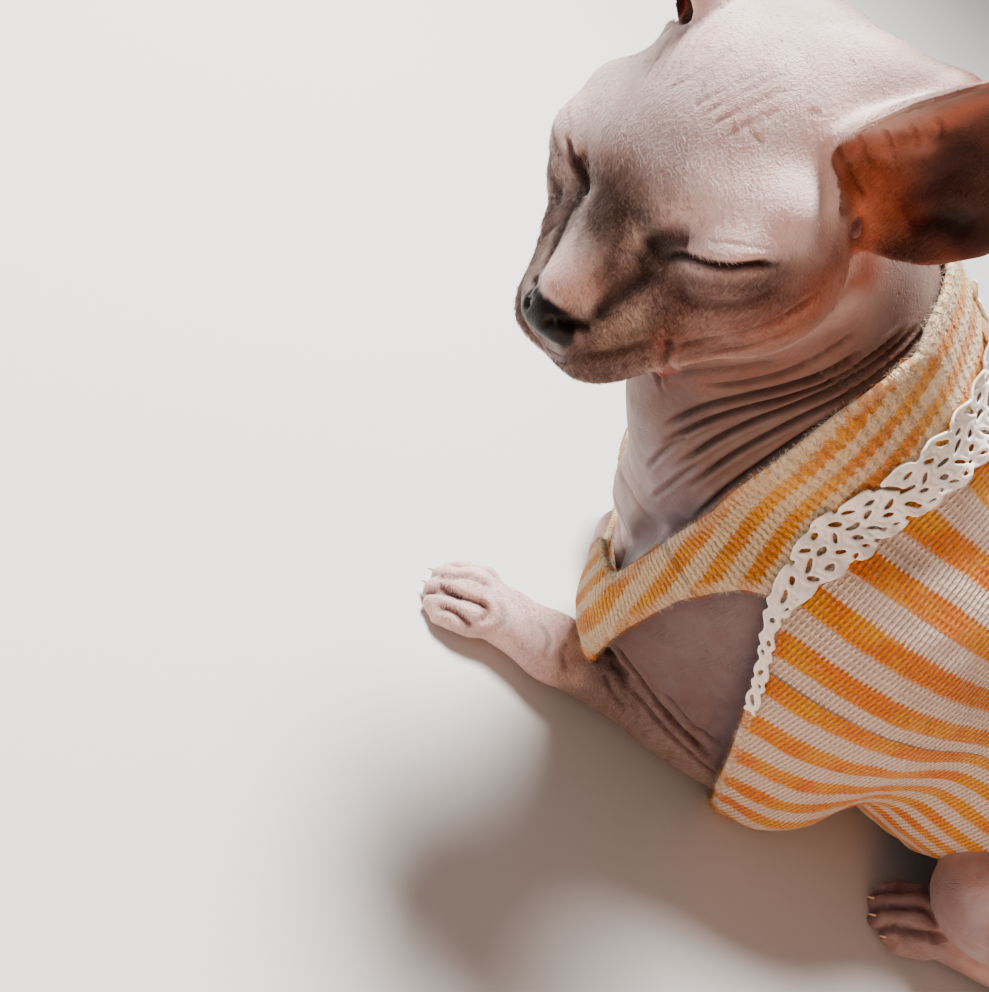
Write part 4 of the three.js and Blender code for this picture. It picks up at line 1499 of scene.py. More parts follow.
@dataclass
class Skin:
    """One skin over all the flesh."""

    anatomy: Anatomy
    lens: Lens
    vest: "Vest"
    voxel: float = 1.0
    swell: float = 0.6
    limit: int = 196000
    piece: bpy.types.Object = None

    def build(self) -> bpy.types.Object:
        """Makes, shapes and dresses the skin.

        Returns:
            The skin.
        """
        self.cast()
        self.thin()
        self.settle()
        self.refine()
        log.info("skin refined: %d points", len(self.piece.data.vertices))
        self.sculpt()
        self.paint()
        faces = sum(len(face.vertices) - 2 for face in self.piece.data.polygons)
        add_modifier(self.piece, "DECIMATE", ratio=min(1.0, self.limit / faces))
        smooth_shading(self.piece)
        self.piece.data.materials.append(SkinFinish().material())
        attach(self.piece, "root")
        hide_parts(*FLESH)
        return self.piece

    def cast(self) -> None:
        """Joins copies of the flesh nodes into one closed skin."""
        points, faces, start = [], [], 0
        for name in FLESH:
            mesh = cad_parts[name].data
            co = places(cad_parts[name])
            points.append(co)
            faces += [[v + start for v in p.vertices] for p in mesh.polygons]
            start += len(co)
        self.piece = mesh_object("skin", np.vstack(points), faces)
        activate(self.piece)
        bpy.ops.object.mode_set(mode="EDIT")
        bpy.ops.mesh.select_all(action="SELECT")
        bpy.ops.mesh.remove_doubles(threshold=1e-5)
        bpy.ops.object.mode_set(mode="OBJECT")
        add_modifier(self.piece, "DISPLACE", strength=self.swell * MM, mid_level=0.0)
        add_modifier(self.piece, "REMESH", mode="VOXEL", voxel_size=self.voxel * MM)

    def points(self) -> np.ndarray:
        """The skin's vertices in the cat's millimetres."""
        return to_cat(places(self.piece))

    def thin(self) -> None:
        """Leaves fewer faces where little shows."""
        for region, ratio in ((self.covered, 0.03), (self.rear, 0.17), (self.far_side, 0.4)):
            self.decimate(region(self.points()), ratio)

    def covered(self, points: np.ndarray) -> np.ndarray:
        """Whether each point lies well under the vest."""
        return (self.vest.opening(points) > 7) & (points[:, 1] > 112)

    @staticmethod
    def rear(points: np.ndarray) -> np.ndarray:
        """Whether each point lies on rump, hind legs or tail."""
        across, back, up = points.T
        return (back >= 252) | ((across < -60) & (up < 30) & (back > 200))

    @staticmethod
    def far_side(points: np.ndarray) -> np.ndarray:
        """Whether each point lies low down between the forelegs or on the right side."""
        across, back, up = points.T
        return (back > 90) & (back < 230) & (across < 10) & (up < 120)

    def choose(self, chosen: np.ndarray) -> None:
        """Goes into edit mode with some points selected.

        Args:
            chosen: Whether each point is selected.
        """
        group = self.piece.vertex_groups.new(name="chosen")
        group.add(np.nonzero(chosen)[0].tolist(), 1.0, "REPLACE")
        activate(self.piece)
        bpy.ops.object.mode_set(mode="EDIT")
        bpy.ops.mesh.select_mode(type="VERT")
        bpy.ops.mesh.select_all(action="DESELECT")
        bpy.ops.object.vertex_group_set_active(group="chosen")
        bpy.ops.object.vertex_group_select()

    def decimate(self, chosen: np.ndarray, ratio: float) -> None:
        """Thins the faces whose points are chosen.

        Args:
            chosen: Whether each point is.
            ratio: Which share of the faces stays.
        """
        self.choose(chosen)
        bpy.ops.mesh.decimate(ratio=ratio)
        self.leave()

    def leave(self) -> None:
        """Goes back to object mode."""
        bpy.ops.object.mode_set(mode="OBJECT")
        self.piece.vertex_groups.clear()

    def settle(self) -> None:
        """Draws the skin onto the rounded forms, where they are near."""
        form = self.anatomy.whole()
        points = self.points()
        outward = normals(self.piece)
        start = form.distance(points) - self.swell
        near = 1 - smooth(0.9, 1.7, np.abs(start))
        points -= outward * self.swell
        pairs = edges(self.piece)
        near = spread(near, pairs, 4)
        points = self.onto(form, points, near, 4)
        loose = spread(points, pairs, 12)
        points += (1 - near)[:, None] * (loose - points) * 0.9
        join = np.clip(spread(4 * near * (1 - near), pairs, 6) * 1.6, 0, 1)
        points += join[:, None] * (spread(points, pairs, 30) - points)
        points[:, 2] = np.maximum(points[:, 2], 0.0)
        set_places(self.piece, to_frame(points))

    def refine(self) -> None:
        """Gives the face finer faces."""
        points = self.points()
        inner = self.anatomy.head.inside(points)
        self.choose(((egg_reach(inner, FACE) < 1.0) & (inner[:, 1] < 14)) | self.by_folds(points))
        bpy.ops.mesh.subdivide(number_cuts=1)
        self.leave()
        points = self.points()
        fine = (egg_reach(self.anatomy.head.inside(points), FACE) < 1.05) | self.by_folds(points)
        form = self.anatomy.whole()
        near = np.where(fine, 1 - smooth(0.5, 1.0, np.abs(form.distance(points))), 0.0)
        points = self.onto(form, points, near, 2)
        even = spread(points, edges(self.piece), 1, 1.0)
        points = points + np.where(fine, 0.5, 0.0)[:, None] * (even - points)
        set_places(self.piece, to_frame(points))

    @staticmethod
    def by_folds(points: np.ndarray) -> np.ndarray:
        """Finds the near side of the neck, where its folds run.

        Args:
            points: Places, one a row.

        Returns:
            Whether each point lies there.
        """
        across, back, up = points.T
        outside = across + 0.75 * (up - 120) > 12
        return outside & (back > 62) & (back < 132) & (up > 84) & (up < 156)

    @staticmethod
    def onto(form: Blend, points: np.ndarray, share: np.ndarray, rounds: int) -> np.ndarray:
        """Moves points towards a form's surface.

        Args:
            form: The form.
            points: Where they start.
            share: How far each one goes.
            rounds: How many steps.

        Returns:
            Where they end.
        """
        step = 0.05
        out = points.copy()
        chosen = np.nonzero(share > 0.01)[0]
        for _ in range(rounds):
            p = out[chosen]
            d = form.distance(p)
            slope = np.stack([(form.distance(p + step * axis) - d) / step for axis in np.eye(3)], axis=1)
            move = d[:, None] * slope / np.maximum((slope ** 2).sum(1, keepdims=True), 0.2)
            length = np.linalg.norm(move, axis=1, keepdims=True)
            move *= np.minimum(1.0, 1.0 / np.maximum(length, 1e-9))
            out[chosen] = p - move * share[chosen, None]
        return out

    def caster(self) -> Caster:
        """Casts onto the skin as it is now."""
        return Caster(self.lens, self.anatomy.head, self.tree())

    def tree(self) -> BVHTree:
        """The skin's faces as they are now, for casting."""
        return BVHTree.FromObject(self.piece, bpy.context.evaluated_depsgraph_get())

    def sculpt(self) -> None:
        """Presses the creases in, raises their lips, and stores how deep in a crease each point lies, which
        the skin's finish darkens as painted shade.
        """
        outward = unit(spread(normals(self.piece), edges(self.piece), 2))
        points = self.filled_out()
        lift, crease = self.relief(points)
        points += outward * self.within_wall(points, outward, lift)[:, None]
        points[:, 2] = np.maximum(points[:, 2], 0.0)
        set_places(self.piece, to_frame(points))
        # How deep in a crease, cleft or fold each point lies; the finish darkens it there as painted shade.
        set_attribute(self.piece, "crease", crease)

    def filled_out(self) -> np.ndarray:
        """Moves the skin where throat, chest and one ear swell too much, and evens the ears' roots.

        Returns:
            The skin's points as they are then.
        """
        caster = self.caster()
        points = self.points()
        for middle, wide, push in SWELLS:
            share = np.exp(-(np.linalg.norm(points - middle, axis=1) / wide) ** 2)
            points += share[:, None] * np.array(push)
        rough = np.zeros(len(points))
        line = caster.line(EAR_ROOT)
        for drawn in (line, caster.across(line)):
            near, away, _ = line_distance(points, drawn, 8)
            rough[near] = np.maximum(rough[near], np.exp(-(away / 3.6) ** 2))
        points += rough[:, None] * (spread(points, edges(self.piece), 26) - points)
        set_places(self.piece, to_frame(points))
        return points

    def relief(self, points: np.ndarray) -> tuple[np.ndarray, np.ndarray]:
        """Finds what creases, clefts, knuckles and folds do to the skin.

        Args:
            points: The skin's points.

        Returns:
            How far each point is raised, in millimetres, and how deep in a crease it lies, for painted shade
            in the creases.
        """
        lift = np.zeros(len(points))
        crease = np.zeros(len(points))
        caster = self.caster()
        for stroke in CREASES:
            for drawn in caster.drawn(stroke):
                near, away, share = line_distance(points, drawn, stroke.width * 5)
                ends = smooth(0, 0.15, share) * smooth(0, 0.15, 1 - share)
                groove = np.exp(-(away / stroke.width) ** 2) * ends
                rim = np.exp(-((away - 2.2 * stroke.width) / (1.2 * stroke.width)) ** 2) * ends
                lift[near] += stroke.lip * rim - stroke.depth * groove
                crease[near] = np.maximum(crease[near], groove * min(1.0, 0.1 + stroke.depth * 0.62))
        for line in self.anatomy.toe_lines():
            near, away, share = line_distance(points, caster.pressed(line), 6)
            ends = smooth(1.0, 0.75, share)
            groove = np.exp(-(away / 1.15) ** 2) * ends
            lift[near] += 0.55 * np.exp(-((away - 2.6) / 1.5) ** 2) * ends - 2.1 * groove
            crease[near] = np.maximum(crease[near], groove * 0.6)
        for spot, wide, rise in self.anatomy.knuckles():
            lift += rise * np.exp(-(np.linalg.norm(points - spot, axis=1) / wide) ** 2)
        for fold in FOLDS:
            valley = fold.valley(points)
            lift -= fold.depth * valley
            crease = np.maximum(crease, valley * min(1.0, fold.depth * 0.5))
        return lift, crease

    def within_wall(self, points: np.ndarray, outward: np.ndarray, lift: np.ndarray) -> np.ndarray:
        """Keeps a groove from cutting through the thin wall of an ear.

        Args:
            points: The skin's points.
            outward: Their normals.
            lift: How far each is to be raised, in millimetres.

        Returns:
            The lift that leaves the wall whole.
        """
        tree = self.tree()
        thin = np.nonzero((lift < -0.15) & (self.anatomy.head.inside(points)[:, 2] > 16))[0]
        kept = lift.copy()
        for index, place, away in zip(thin, to_frame(points[thin]), outward[thin]):
            inward = -Vector(away)
            reach = tree.ray_cast(Vector(place) + inward * 1e-5, inward, 0.006)[3]
            if reach is not None:
                kept[index] = max(lift[index], -0.22 * reach / MM)
        log.info("walls: %d points, %d held back", len(thin), int((kept > lift).sum()))
        return kept

    def paint(self) -> None:
        """Gives every point its tone, down, fine wrinkling and wetness; the tone holds painted shade, painted
        highlights and a painted warm glow as well as the skin's own colours.
        """
        points = self.points()
        head = self.anatomy.head
        inner = head.inside(points)
        tone = np.tile(np.array(Tone.LILAC.value), (len(points), 1))

        def lay(colour: tuple, share: np.ndarray) -> None:
            """Lays a colour over the tone."""
            tone[:] += share[:, None] * (np.array(colour) - tone)

        turn = np.array(Matrix.Rotation(0.9, 3, Vector((0.6, 0.5, 0.6))))
        turned = points @ turn + 6 * noise(points, 21, 8)[:, None]
        patch = noise(turned, 46, 3) + 0.6 * noise(turned, 19, 4) + 0.3 * noise(points, 8, 5)
        lay(Tone.MAUVE.value, smooth(-0.3, 0.45, patch) * 0.6)
        lay(Tone.PINK.value, smooth(0.1, 0.7, noise(turned, 52, 9) + 0.4 * noise(points, 14, 6)) * 0.5)
        on_head = 1 - smooth(36, 66, np.linalg.norm(inner - (0, 6, -4), axis=1) + 4 * noise(points, 12, 15))
        on_head *= smooth(-50, -26, inner[:, 2] + 0.35 * np.maximum(inner[:, 1], 0))
        # The throat below the head is painted dark and warm: partly its own darker skin, partly painted shade
        # under the head.
        throat = (1 - on_head) * smooth(142, 112, points[:, 1]) * smooth(62, 98, points[:, 2])
        lay((0.165, 0.098, 0.075), throat * 0.92)
        # The sides of chest and shoulders are painted grey-mauve, more so lower down: partly the skin's own
        # grey, partly painted shade on the side away from the light.
        flank = smooth(20, 32, np.abs(points[:, 0])) * smooth(200, 170, points[:, 1])
        lay((0.215, 0.165, 0.175), flank * smooth(112, 96, points[:, 2]) * 0.9)
        lay((0.80, 0.62, 0.59), on_head)
        # The near foreleg is painted grey, more so near the floor: partly its own grey down, partly painted
        # shade low down.
        legs = smooth(40, 16, points[:, 2]) * smooth(205, 190, points[:, 1]) * smooth(14, 26, points[:, 0])
        lay(Tone.GREY.value, legs * 0.85)
        paw = smooth(126, 90, points[:, 1] + 5 * noise(points, 9, 19)) * smooth(34, 22, points[:, 2])
        lay((0.84, 0.62, 0.58), paw)
        caster = self.caster()
        # A mark's mirror image is a little weaker.
        for mark in MARKS:
            for drawn, weight in zip(caster.drawn(mark, 2.0, 1), (1.0, 0.8)):
                near, away, _ = line_distance(points, drawn, mark.width * 2.4)
                ragged = away * (1 + 0.35 * noise(points[near], 5, 21))
                share = np.zeros(len(points))
                share[near] = np.exp(-(ragged / mark.width) ** 2) * mark.strength * weight
                lay(mark.tone, share)
        nose = egg_reach(inner, Egg(NOSE, (9.2, 6.6, 6.0)))
        leather = smooth(1.06, 0.94, nose + 0.05 * noise(points, 1.5, 27))
        lay(Tone.INK.value, leather)
        set_attribute(self.piece, "tone", tone)
        set_attribute(self.piece, "wet", leather)
        set_attribute(self.piece, "down", (on_head * 0.3 + legs * 0.5) * (1 - leather))
        set_attribute(self.piece, "fine", 0.4 + 0.4 * legs - 0.3 * on_head)


# Down and loose fibres


@dataclass(frozen=True)
class DownFinish(Finish):
    """Fine hairs that carry the skin's or the yarn's own tone."""

    name: str = "down"

    def values(self, graph: Graph) -> dict:
        """Reads the tone from the mesh.

        Args:
            graph: The material's nodes.

        Returns:
            A socket or a plain value for each of the shader's sockets that are used.
        """
        speck = graph.step(graph.noise(graph.where(), 700.0, 2.0), 0.35, 0.65)
        tone = graph.attribute("tone", colour=True)
        return {
            "Base Color": graph.mix(graph.times(speck, 0.35), tone, (0.75, 0.66, 0.6, 1), "MULTIPLY"),
            "Roughness": graph.plus(graph.times(speck, 0.15), 0.55),
            "Sheen Weight": 0.2,
        }


@dataclass(frozen=True)
class Plush:
    """Where hairs stand thick: a line on the skin and how far they spread from it."""

    spots: tuple
    width: float
    strength: float = 1.0
    mirrored: bool = True


PLUSHES = (
    Plush(((596, 158), (625, 182), (655, 195), (694, 203)), 10, 0.9),
    Plush(((608, 200), (618, 225), (640, 242)), 7, 0.9),
    Plush(((606, 225), (612, 255), (622, 280)), 6, 0.7),
    Plush(((598, 336), (628, 326), (655, 312), (684, 294)), 6.5, 1.0),
    Plush(((602, 318), (628, 303), (655, 288)), 4.5, 0.9),
    Plush(((552, 352), (585, 374), (640, 372)), 8, 0.6),
    Plush(((686, 280), (735, 290), (775, 280)), 6, 0.5),
    Plush(((700, 335), (770, 318), (838, 275)), 14, 0.2),
    Plush(((586, 205), (562, 248), (548, 275)), 5, 0.45),
    Plush(((620, 100), (690, 130), (760, 165)), 20, 0.07),
    Plush(((835, 137), (880, 115), (930, 106), (985, 80)), 2.2, 1.0),
    Plush(((875, 240), (905, 250), (960, 270)), 2.6, 0.9),
    Plush(((860, 165), (905, 170), (945, 150)), 9, 0.35),
)
LIMB_PLUSHES = (
    Plush(((500, 655), (540, 690), (590, 715), (650, 750)), 9, 1.0, False),
    Plush(((520, 620), (560, 645), (600, 690)), 12, 0.5, False),
    Plush(((430, 600), (470, 630), (500, 620)), 12, 0.3, False),
)


@dataclass
class Down:
    """Short hairs, each a bent solid needle, rooted on another piece."""

    name: str
    carrier: bpy.types.Object
    slot: str
    density: np.ndarray
    lay: np.ndarray
    count: int
    length: tuple[float, float] = (1.3, 2.3)
    width: float = 0.05
    rise: float = 0.27
    pale_tip: float = 1.3
    dark_tip: float = 0.6
    middle: tuple[float, float, float] = (62.0, 40.0, 168.0)
    seed: int = 5
    piece: bpy.types.Object = None

    def roots(self, rng: np.random.Generator) -> tuple[np.ndarray, ...]:
        """Chooses where the hairs stand.

        Args:
            rng: The seeded source of chance.

        Returns:
            Places, normals, lay directions and tones.
        """
        mesh = self.carrier.data
        mesh.calc_loop_triangles()
        corners = np.empty(len(mesh.loop_triangles) * 3, dtype=np.int32)
        mesh.loop_triangles.foreach_get("vertices", corners)
        corners = corners.reshape(-1, 3)
        points = to_cat(places(self.carrier))
        a, b, c = (points[corners[:, k]] for k in range(3))
        flat = np.cross(b - a, c - a)
        weight = np.linalg.norm(flat, axis=1) * np.maximum(self.density[corners].mean(axis=1), 0)
        chosen = rng.choice(len(corners), self.count, p=weight / weight.sum())
        u, v = rng.random(self.count), rng.random(self.count)
        over = u + v > 1
        u, v = np.where(over, 1 - u, u), np.where(over, 1 - v, v)
        share = np.stack([1 - u - v, u, v], axis=1)[:, :, None]
        tone = stored_colour(self.carrier, "tone", len(points))
        up = normals(self.carrier)
        chosen = corners[chosen]
        return tuple((each[chosen] * share).sum(axis=1) for each in (points, up, self.lay, tone))

    def build(self) -> bpy.types.Object:
        """Makes the hairs.

        Returns:
            The piece.
        """
        rng = np.random.default_rng(self.seed)
        root, up, lay, tone = self.roots(rng)
        up = unit(up)
        lay = lay + rng.normal(0, 0.22, lay.shape)
        lay = unit(lay - up * (lay * up).sum(1, keepdims=True))
        side = np.cross(up, lay)
        long = rng.uniform(*self.length, self.count)[:, None]
        rise = self.rise * rng.uniform(0.6, 1.3, self.count)[:, None]
        curl = rng.normal(0, 0.07, self.count)[:, None]
        rings = []
        for share, thick in ((0.0, 1.0), (0.5, 0.8)):
            spot = root - up * 0.12 + long * (lay * share * 0.9 + up * (rise * share * (1.25 - 0.5 * share)))
            spot = spot + side * curl * long * share ** 2
            for turn in (0, 1, 2):
                angle = 2 * math.pi * turn / 3
                rings.append(spot + self.width * thick * (side * math.cos(angle) + up * math.sin(angle)))
        rings.append(root + long * (lay * 0.95 + up * rise * 0.72) + side * curl * long)
        points = np.stack(rings, axis=1)
        base = (np.arange(self.count) * 7)[:, None]
        quads = [base + np.array(q) for q in ((0, 1, 4, 3), (1, 2, 5, 4), (2, 0, 3, 5))]
        tips = [base + np.array(t) for t in ((3, 4, 6), (4, 5, 6), (5, 3, 6), (2, 1, 0))]
        faces = np.vstack(quads).tolist() + np.vstack(tips).tolist()
        points = points.reshape(-1, 3)
        points[:, 2] = np.maximum(points[:, 2], 0.05)
        self.piece = mesh_object(self.name, to_frame(points), faces)
        gain = np.where(rng.random(self.count) < 0.6, self.pale_tip, self.dark_tip)[:, None]
        ends = np.clip(tone * gain + (gain > 1) * 0.02, 0, 0.74)
        tones = np.repeat(tone[:, None, :] * 0.9, 7, axis=1)
        tones[:, 3:6] = (0.5 * (tone + ends))[:, None, :]
        tones[:, 6] = ends
        set_attribute(self.piece, "tone", tones.reshape(-1, 3))
        self.unwrap(root)
        self.piece.data.materials.append(DownFinish().material())
        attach(self.piece, "root")
        return self.piece

    def unwrap(self, root: np.ndarray) -> None:
        """Gives each hair a small patch at its root's place on an unwrap round the form's middle.

        Args:
            root: Where the hairs stand, one a row.
        """
        away = root - np.array(self.middle)
        across = np.arctan2(away[:, 0], -away[:, 1]) / (2 * math.pi) + 0.5
        above = np.arctan2(away[:, 2], np.hypot(away[:, 0], away[:, 1])) / math.pi + 0.5
        patch = np.array(((0, 0), (0.5, 0), (1, 0), (0, 0.6), (0.5, 0.6), (1, 0.6), (0.5, 1))) * 0.003
        spots = np.stack([across, above], axis=1)[:, None, :] * 0.994 + patch[None]
        spots = spots.reshape(-1, 2)
        layer = self.piece.data.uv_layers.new(name="OFBake")
        corners = np.empty(len(self.piece.data.loops), dtype=np.int32)
        self.piece.data.loops.foreach_get("vertex_index", corners)
        layer.data.foreach_set("uv", spots[corners].ravel())


def stored_colour(carrier: bpy.types.Object, name: str, count: int) -> np.ndarray:
    """Reads a colour stored on a mesh's points.

    Args:
        carrier: The piece.
        name: The attribute's name.
        count: How many points it has.

    Returns:
        Colours, one a row.
    """
    flat = np.empty(count * 4)
    carrier.data.attributes[name].data.foreach_get("color", flat)
    return flat.reshape(-1, 4)[:, :3]


@dataclass
class Bloom:
    """All the down on the skin."""

    skin: Skin
    pieces: list = field(default_factory=list)

    def spread_along(self, points: np.ndarray, plushes: tuple) -> np.ndarray:
        """Finds how thick the hairs stand at each point.

        Args:
            points: The skin's points.
            plushes: The lines along which they stand.

        Returns:
            A density for each point.
        """
        caster = self.skin.caster()
        out = np.zeros(len(points))
        for plush in plushes:
            for drawn in caster.drawn(plush, 2.0):
                near, away, _ = line_distance(points, drawn, plush.width * 2)
                out[near] = np.maximum(out[near], np.exp(-(away / plush.width) ** 2) * plush.strength)
        return out * (0.7 + 0.6 * np.clip(noise(points, 5, 61), -0.5, 1))

    def build(self) -> list[bpy.types.Object]:
        """Makes the down of face, ears, forearm and the rest.

        Returns:
            The pieces.
        """
        piece = self.skin.piece
        points = self.skin.points()
        axes = self.skin.anatomy.head.axes()
        face_lay = np.tile(unit(np.array((0.45, 0.45, -0.5)) + 0.5 * axes[1]), (len(points), 1))
        inner = self.skin.anatomy.head.inside(points)
        nearby = np.linalg.norm(inner, axis=1) < 75
        leather = egg_reach(inner, Egg(NOSE, (10, 8, 8))) < 1
        face = self.spread_along(points, PLUSHES) * nearby * ~leather
        limb = self.spread_along(points, LIMB_PLUSHES)
        back_lay = np.tile(np.array((0.05, 0.9, -0.35)), (len(points), 1))
        down_lay = np.tile(np.array((0.4, 0.5, -0.6)), (len(points), 1))
        rest = 0.15 + 0.6 * smooth(60, 20, points[:, 2])
        rest = rest * ~nearby * (self.skin.vest.opening(points) < 1) + 0.5 * nearby * (inner[:, 2] > 16)
        for name, density, lay, count, slot, middle in (
            ("down_face", face, face_lay, 19000, "face_skin", (62.0, 40.0, 168.0)),
            ("down_forearm", limb, down_lay, 9000, "leg_skin", (44.0, 130.0, 14.0)),
            ("down_body", rest, back_lay, 13000, "body_skin", (0.0, 230.0, 70.0)),
        ):
            short = (0.7, 1.3) if name == "down_body" else (1.1, 2.1)
            down = Down(name, piece, slot, density, lay, count, short, middle=middle, seed=len(name))
            self.pieces.append(down.build())
        return self.pieces


@dataclass
class Claws:
    """The tips of the claws between the toes' fur, one to a toe."""

    length: float = 3.2
    radius: float = 0.7
    names: tuple = ("front_left", "front_right", "hind_left", "hind_right")

    def build(self) -> list[bpy.types.Object]:
        """Makes the claws of every paw, a piece to a paw.

        Returns:
            The pieces.
        """
        pieces = []
        for name, (heel, ball) in zip(self.names, PAWS):
            forward, across = paw_axes(heel, ball)
            points, faces = [], []
            for place in TOES:
                start = np.array([ball[0], ball[1], 4.4]) + across * place * 6.3
                start = start + forward * (16.0 - 2.2 * place * place)
                self.claw(start, forward, across, points, faces)
            piece = mesh_object(f"claws_{name}", to_frame(np.array(points)), faces)
            smooth_shading(piece)
            piece.data.materials.append(ClawFinish().material())
            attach(piece, "root")
            pieces.append(piece)
        return pieces

    def claw(
        self, start: np.ndarray, forward: np.ndarray, across: np.ndarray, points: list, faces: list
    ) -> None:
        """Adds one hooked claw.

        Args:
            start: Where it leaves the toe.
            forward: Which way the paw points.
            across: The level direction square to it.
            points: The list that its points join.
            faces: The list that its faces join.
        """
        first, sides, rings = len(points), 8, 7
        for n in range(rings):
            share = n / (rings - 1)
            bend = share * 1.1
            spot = start + forward * self.length * math.sin(bend) * 0.8
            spot = spot + np.array([0, 0, 0.5 - self.length * 0.75 * (1 - math.cos(bend))])
            ahead = forward * math.cos(bend) + np.array([0, 0, -math.sin(bend)])
            upward = np.cross(ahead, across) * (1 if np.cross(ahead, across)[2] > 0 else -1)
            thick = self.radius * (1 - 0.93 * share ** 1.3)
            for k in range(sides):
                turn = 2 * math.pi * k / sides
                points.append(spot + thick * (0.62 * across * math.cos(turn) + upward * math.sin(turn)))
        for n in range(rings - 1):
            for k in range(sides):
                a, b = first + n * sides + k, first + n * sides + (k + 1) % sides
                faces.append((a, b, b + sides, a + sides))
        faces.append(tuple(range(first + sides - 1, first - 1, -1)))
        faces.append(tuple(range(first + (rings - 1) * sides, first + rings * sides)))


@dataclass(frozen=True)
class ClawFinish(Finish):
    """Pale horn, pinker at the root."""

    name: str = "claw"

    def values(self, graph: Graph) -> dict:
        """Mixes two tones of horn.

        Args:
            graph: The material's nodes.

        Returns:
            A socket or a plain value for each of the shader's sockets that are used.
        """
        grain = graph.noise(graph.where(), 900.0, 3.0)
        pale = graph.step(grain, 0.3, 0.7)
        return {
            "Base Color": graph.mix(pale, (0.62, 0.47, 0.38, 1), (0.80, 0.70, 0.60, 1)),
            "Roughness": graph.plus(graph.times(grain, 0.1), 0.26),
            "Normal": graph.bump(grain, 0.0001, 0.5),
            "Subsurface Weight": 0.15,
            "Subsurface Scale": 0.001,
        }


@dataclass
class Fluff:
    """Loose fibres that stand off the yarn, thickest along the edges."""

    vest: "Vest"
    counts: tuple[int, int] = (9000, 9000)

    def build(self) -> list[bpy.types.Object]:
        """Makes the fibres of the yoke and of the body.

        Returns:
            The pieces.
        """
        pieces = []
        for carrier, count, side in zip(self.vest.pieces, self.counts, (-1, 1)):
            points = to_cat(places(carrier))
            level = self.vest.room(points, side)
            seen = smooth(-20, 10, points[:, 0])
            density = (np.exp(-np.maximum(level, 0) / 1.6) + 0.05) * (0.15 + 0.85 * seen)
            density = density * smooth(250, 215, points[:, 1])
            lay = normals(carrier) + 0.8 * np.array([noise(points, 3, seed) for seed in (71, 72, 73)]).T
            fibre = Down(
                f"{carrier.name}_fluff", carrier, "knit", density, lay, count, (0.9, 2.4), rise=0.75,
                middle=(0.0, 170.0, 84.0), seed=31 + side,
            )
            pieces.append(fibre.build())
        return pieces


# The vest


def outline_distance(points: np.ndarray, outline: np.ndarray) -> np.ndarray:
    """Distance of flat points from a closed outline, below zero inside.

    Args:
        points: Flat points, one a row.
        outline: The outline's corners, one a row.

    Returns:
        One distance for each point.
    """
    best = np.full(len(points), 1e9)
    inside = np.zeros(len(points), bool)
    for a, b in zip(outline, np.roll(outline, -1, axis=0)):
        along = b - a
        q = points - a
        t = np.clip(q @ along / (along @ along), 0, 1)
        best = np.minimum(best, np.linalg.norm(q - t[:, None] * along, axis=1))
        crosses = (a[1] > points[:, 1]) != (b[1] > points[:, 1])
        slope = along[0] / along[1] if along[1] else 0.0
        inside ^= crosses & (points[:, 0] < a[0] + (points[:, 1] - a[1]) * slope)
    return np.where(inside, -best, best)


# The colours of the loose fibres: cream and orange yarn.
YARNS = ((0.72, 0.56, 0.42), (0.66, 0.24, 0.03))


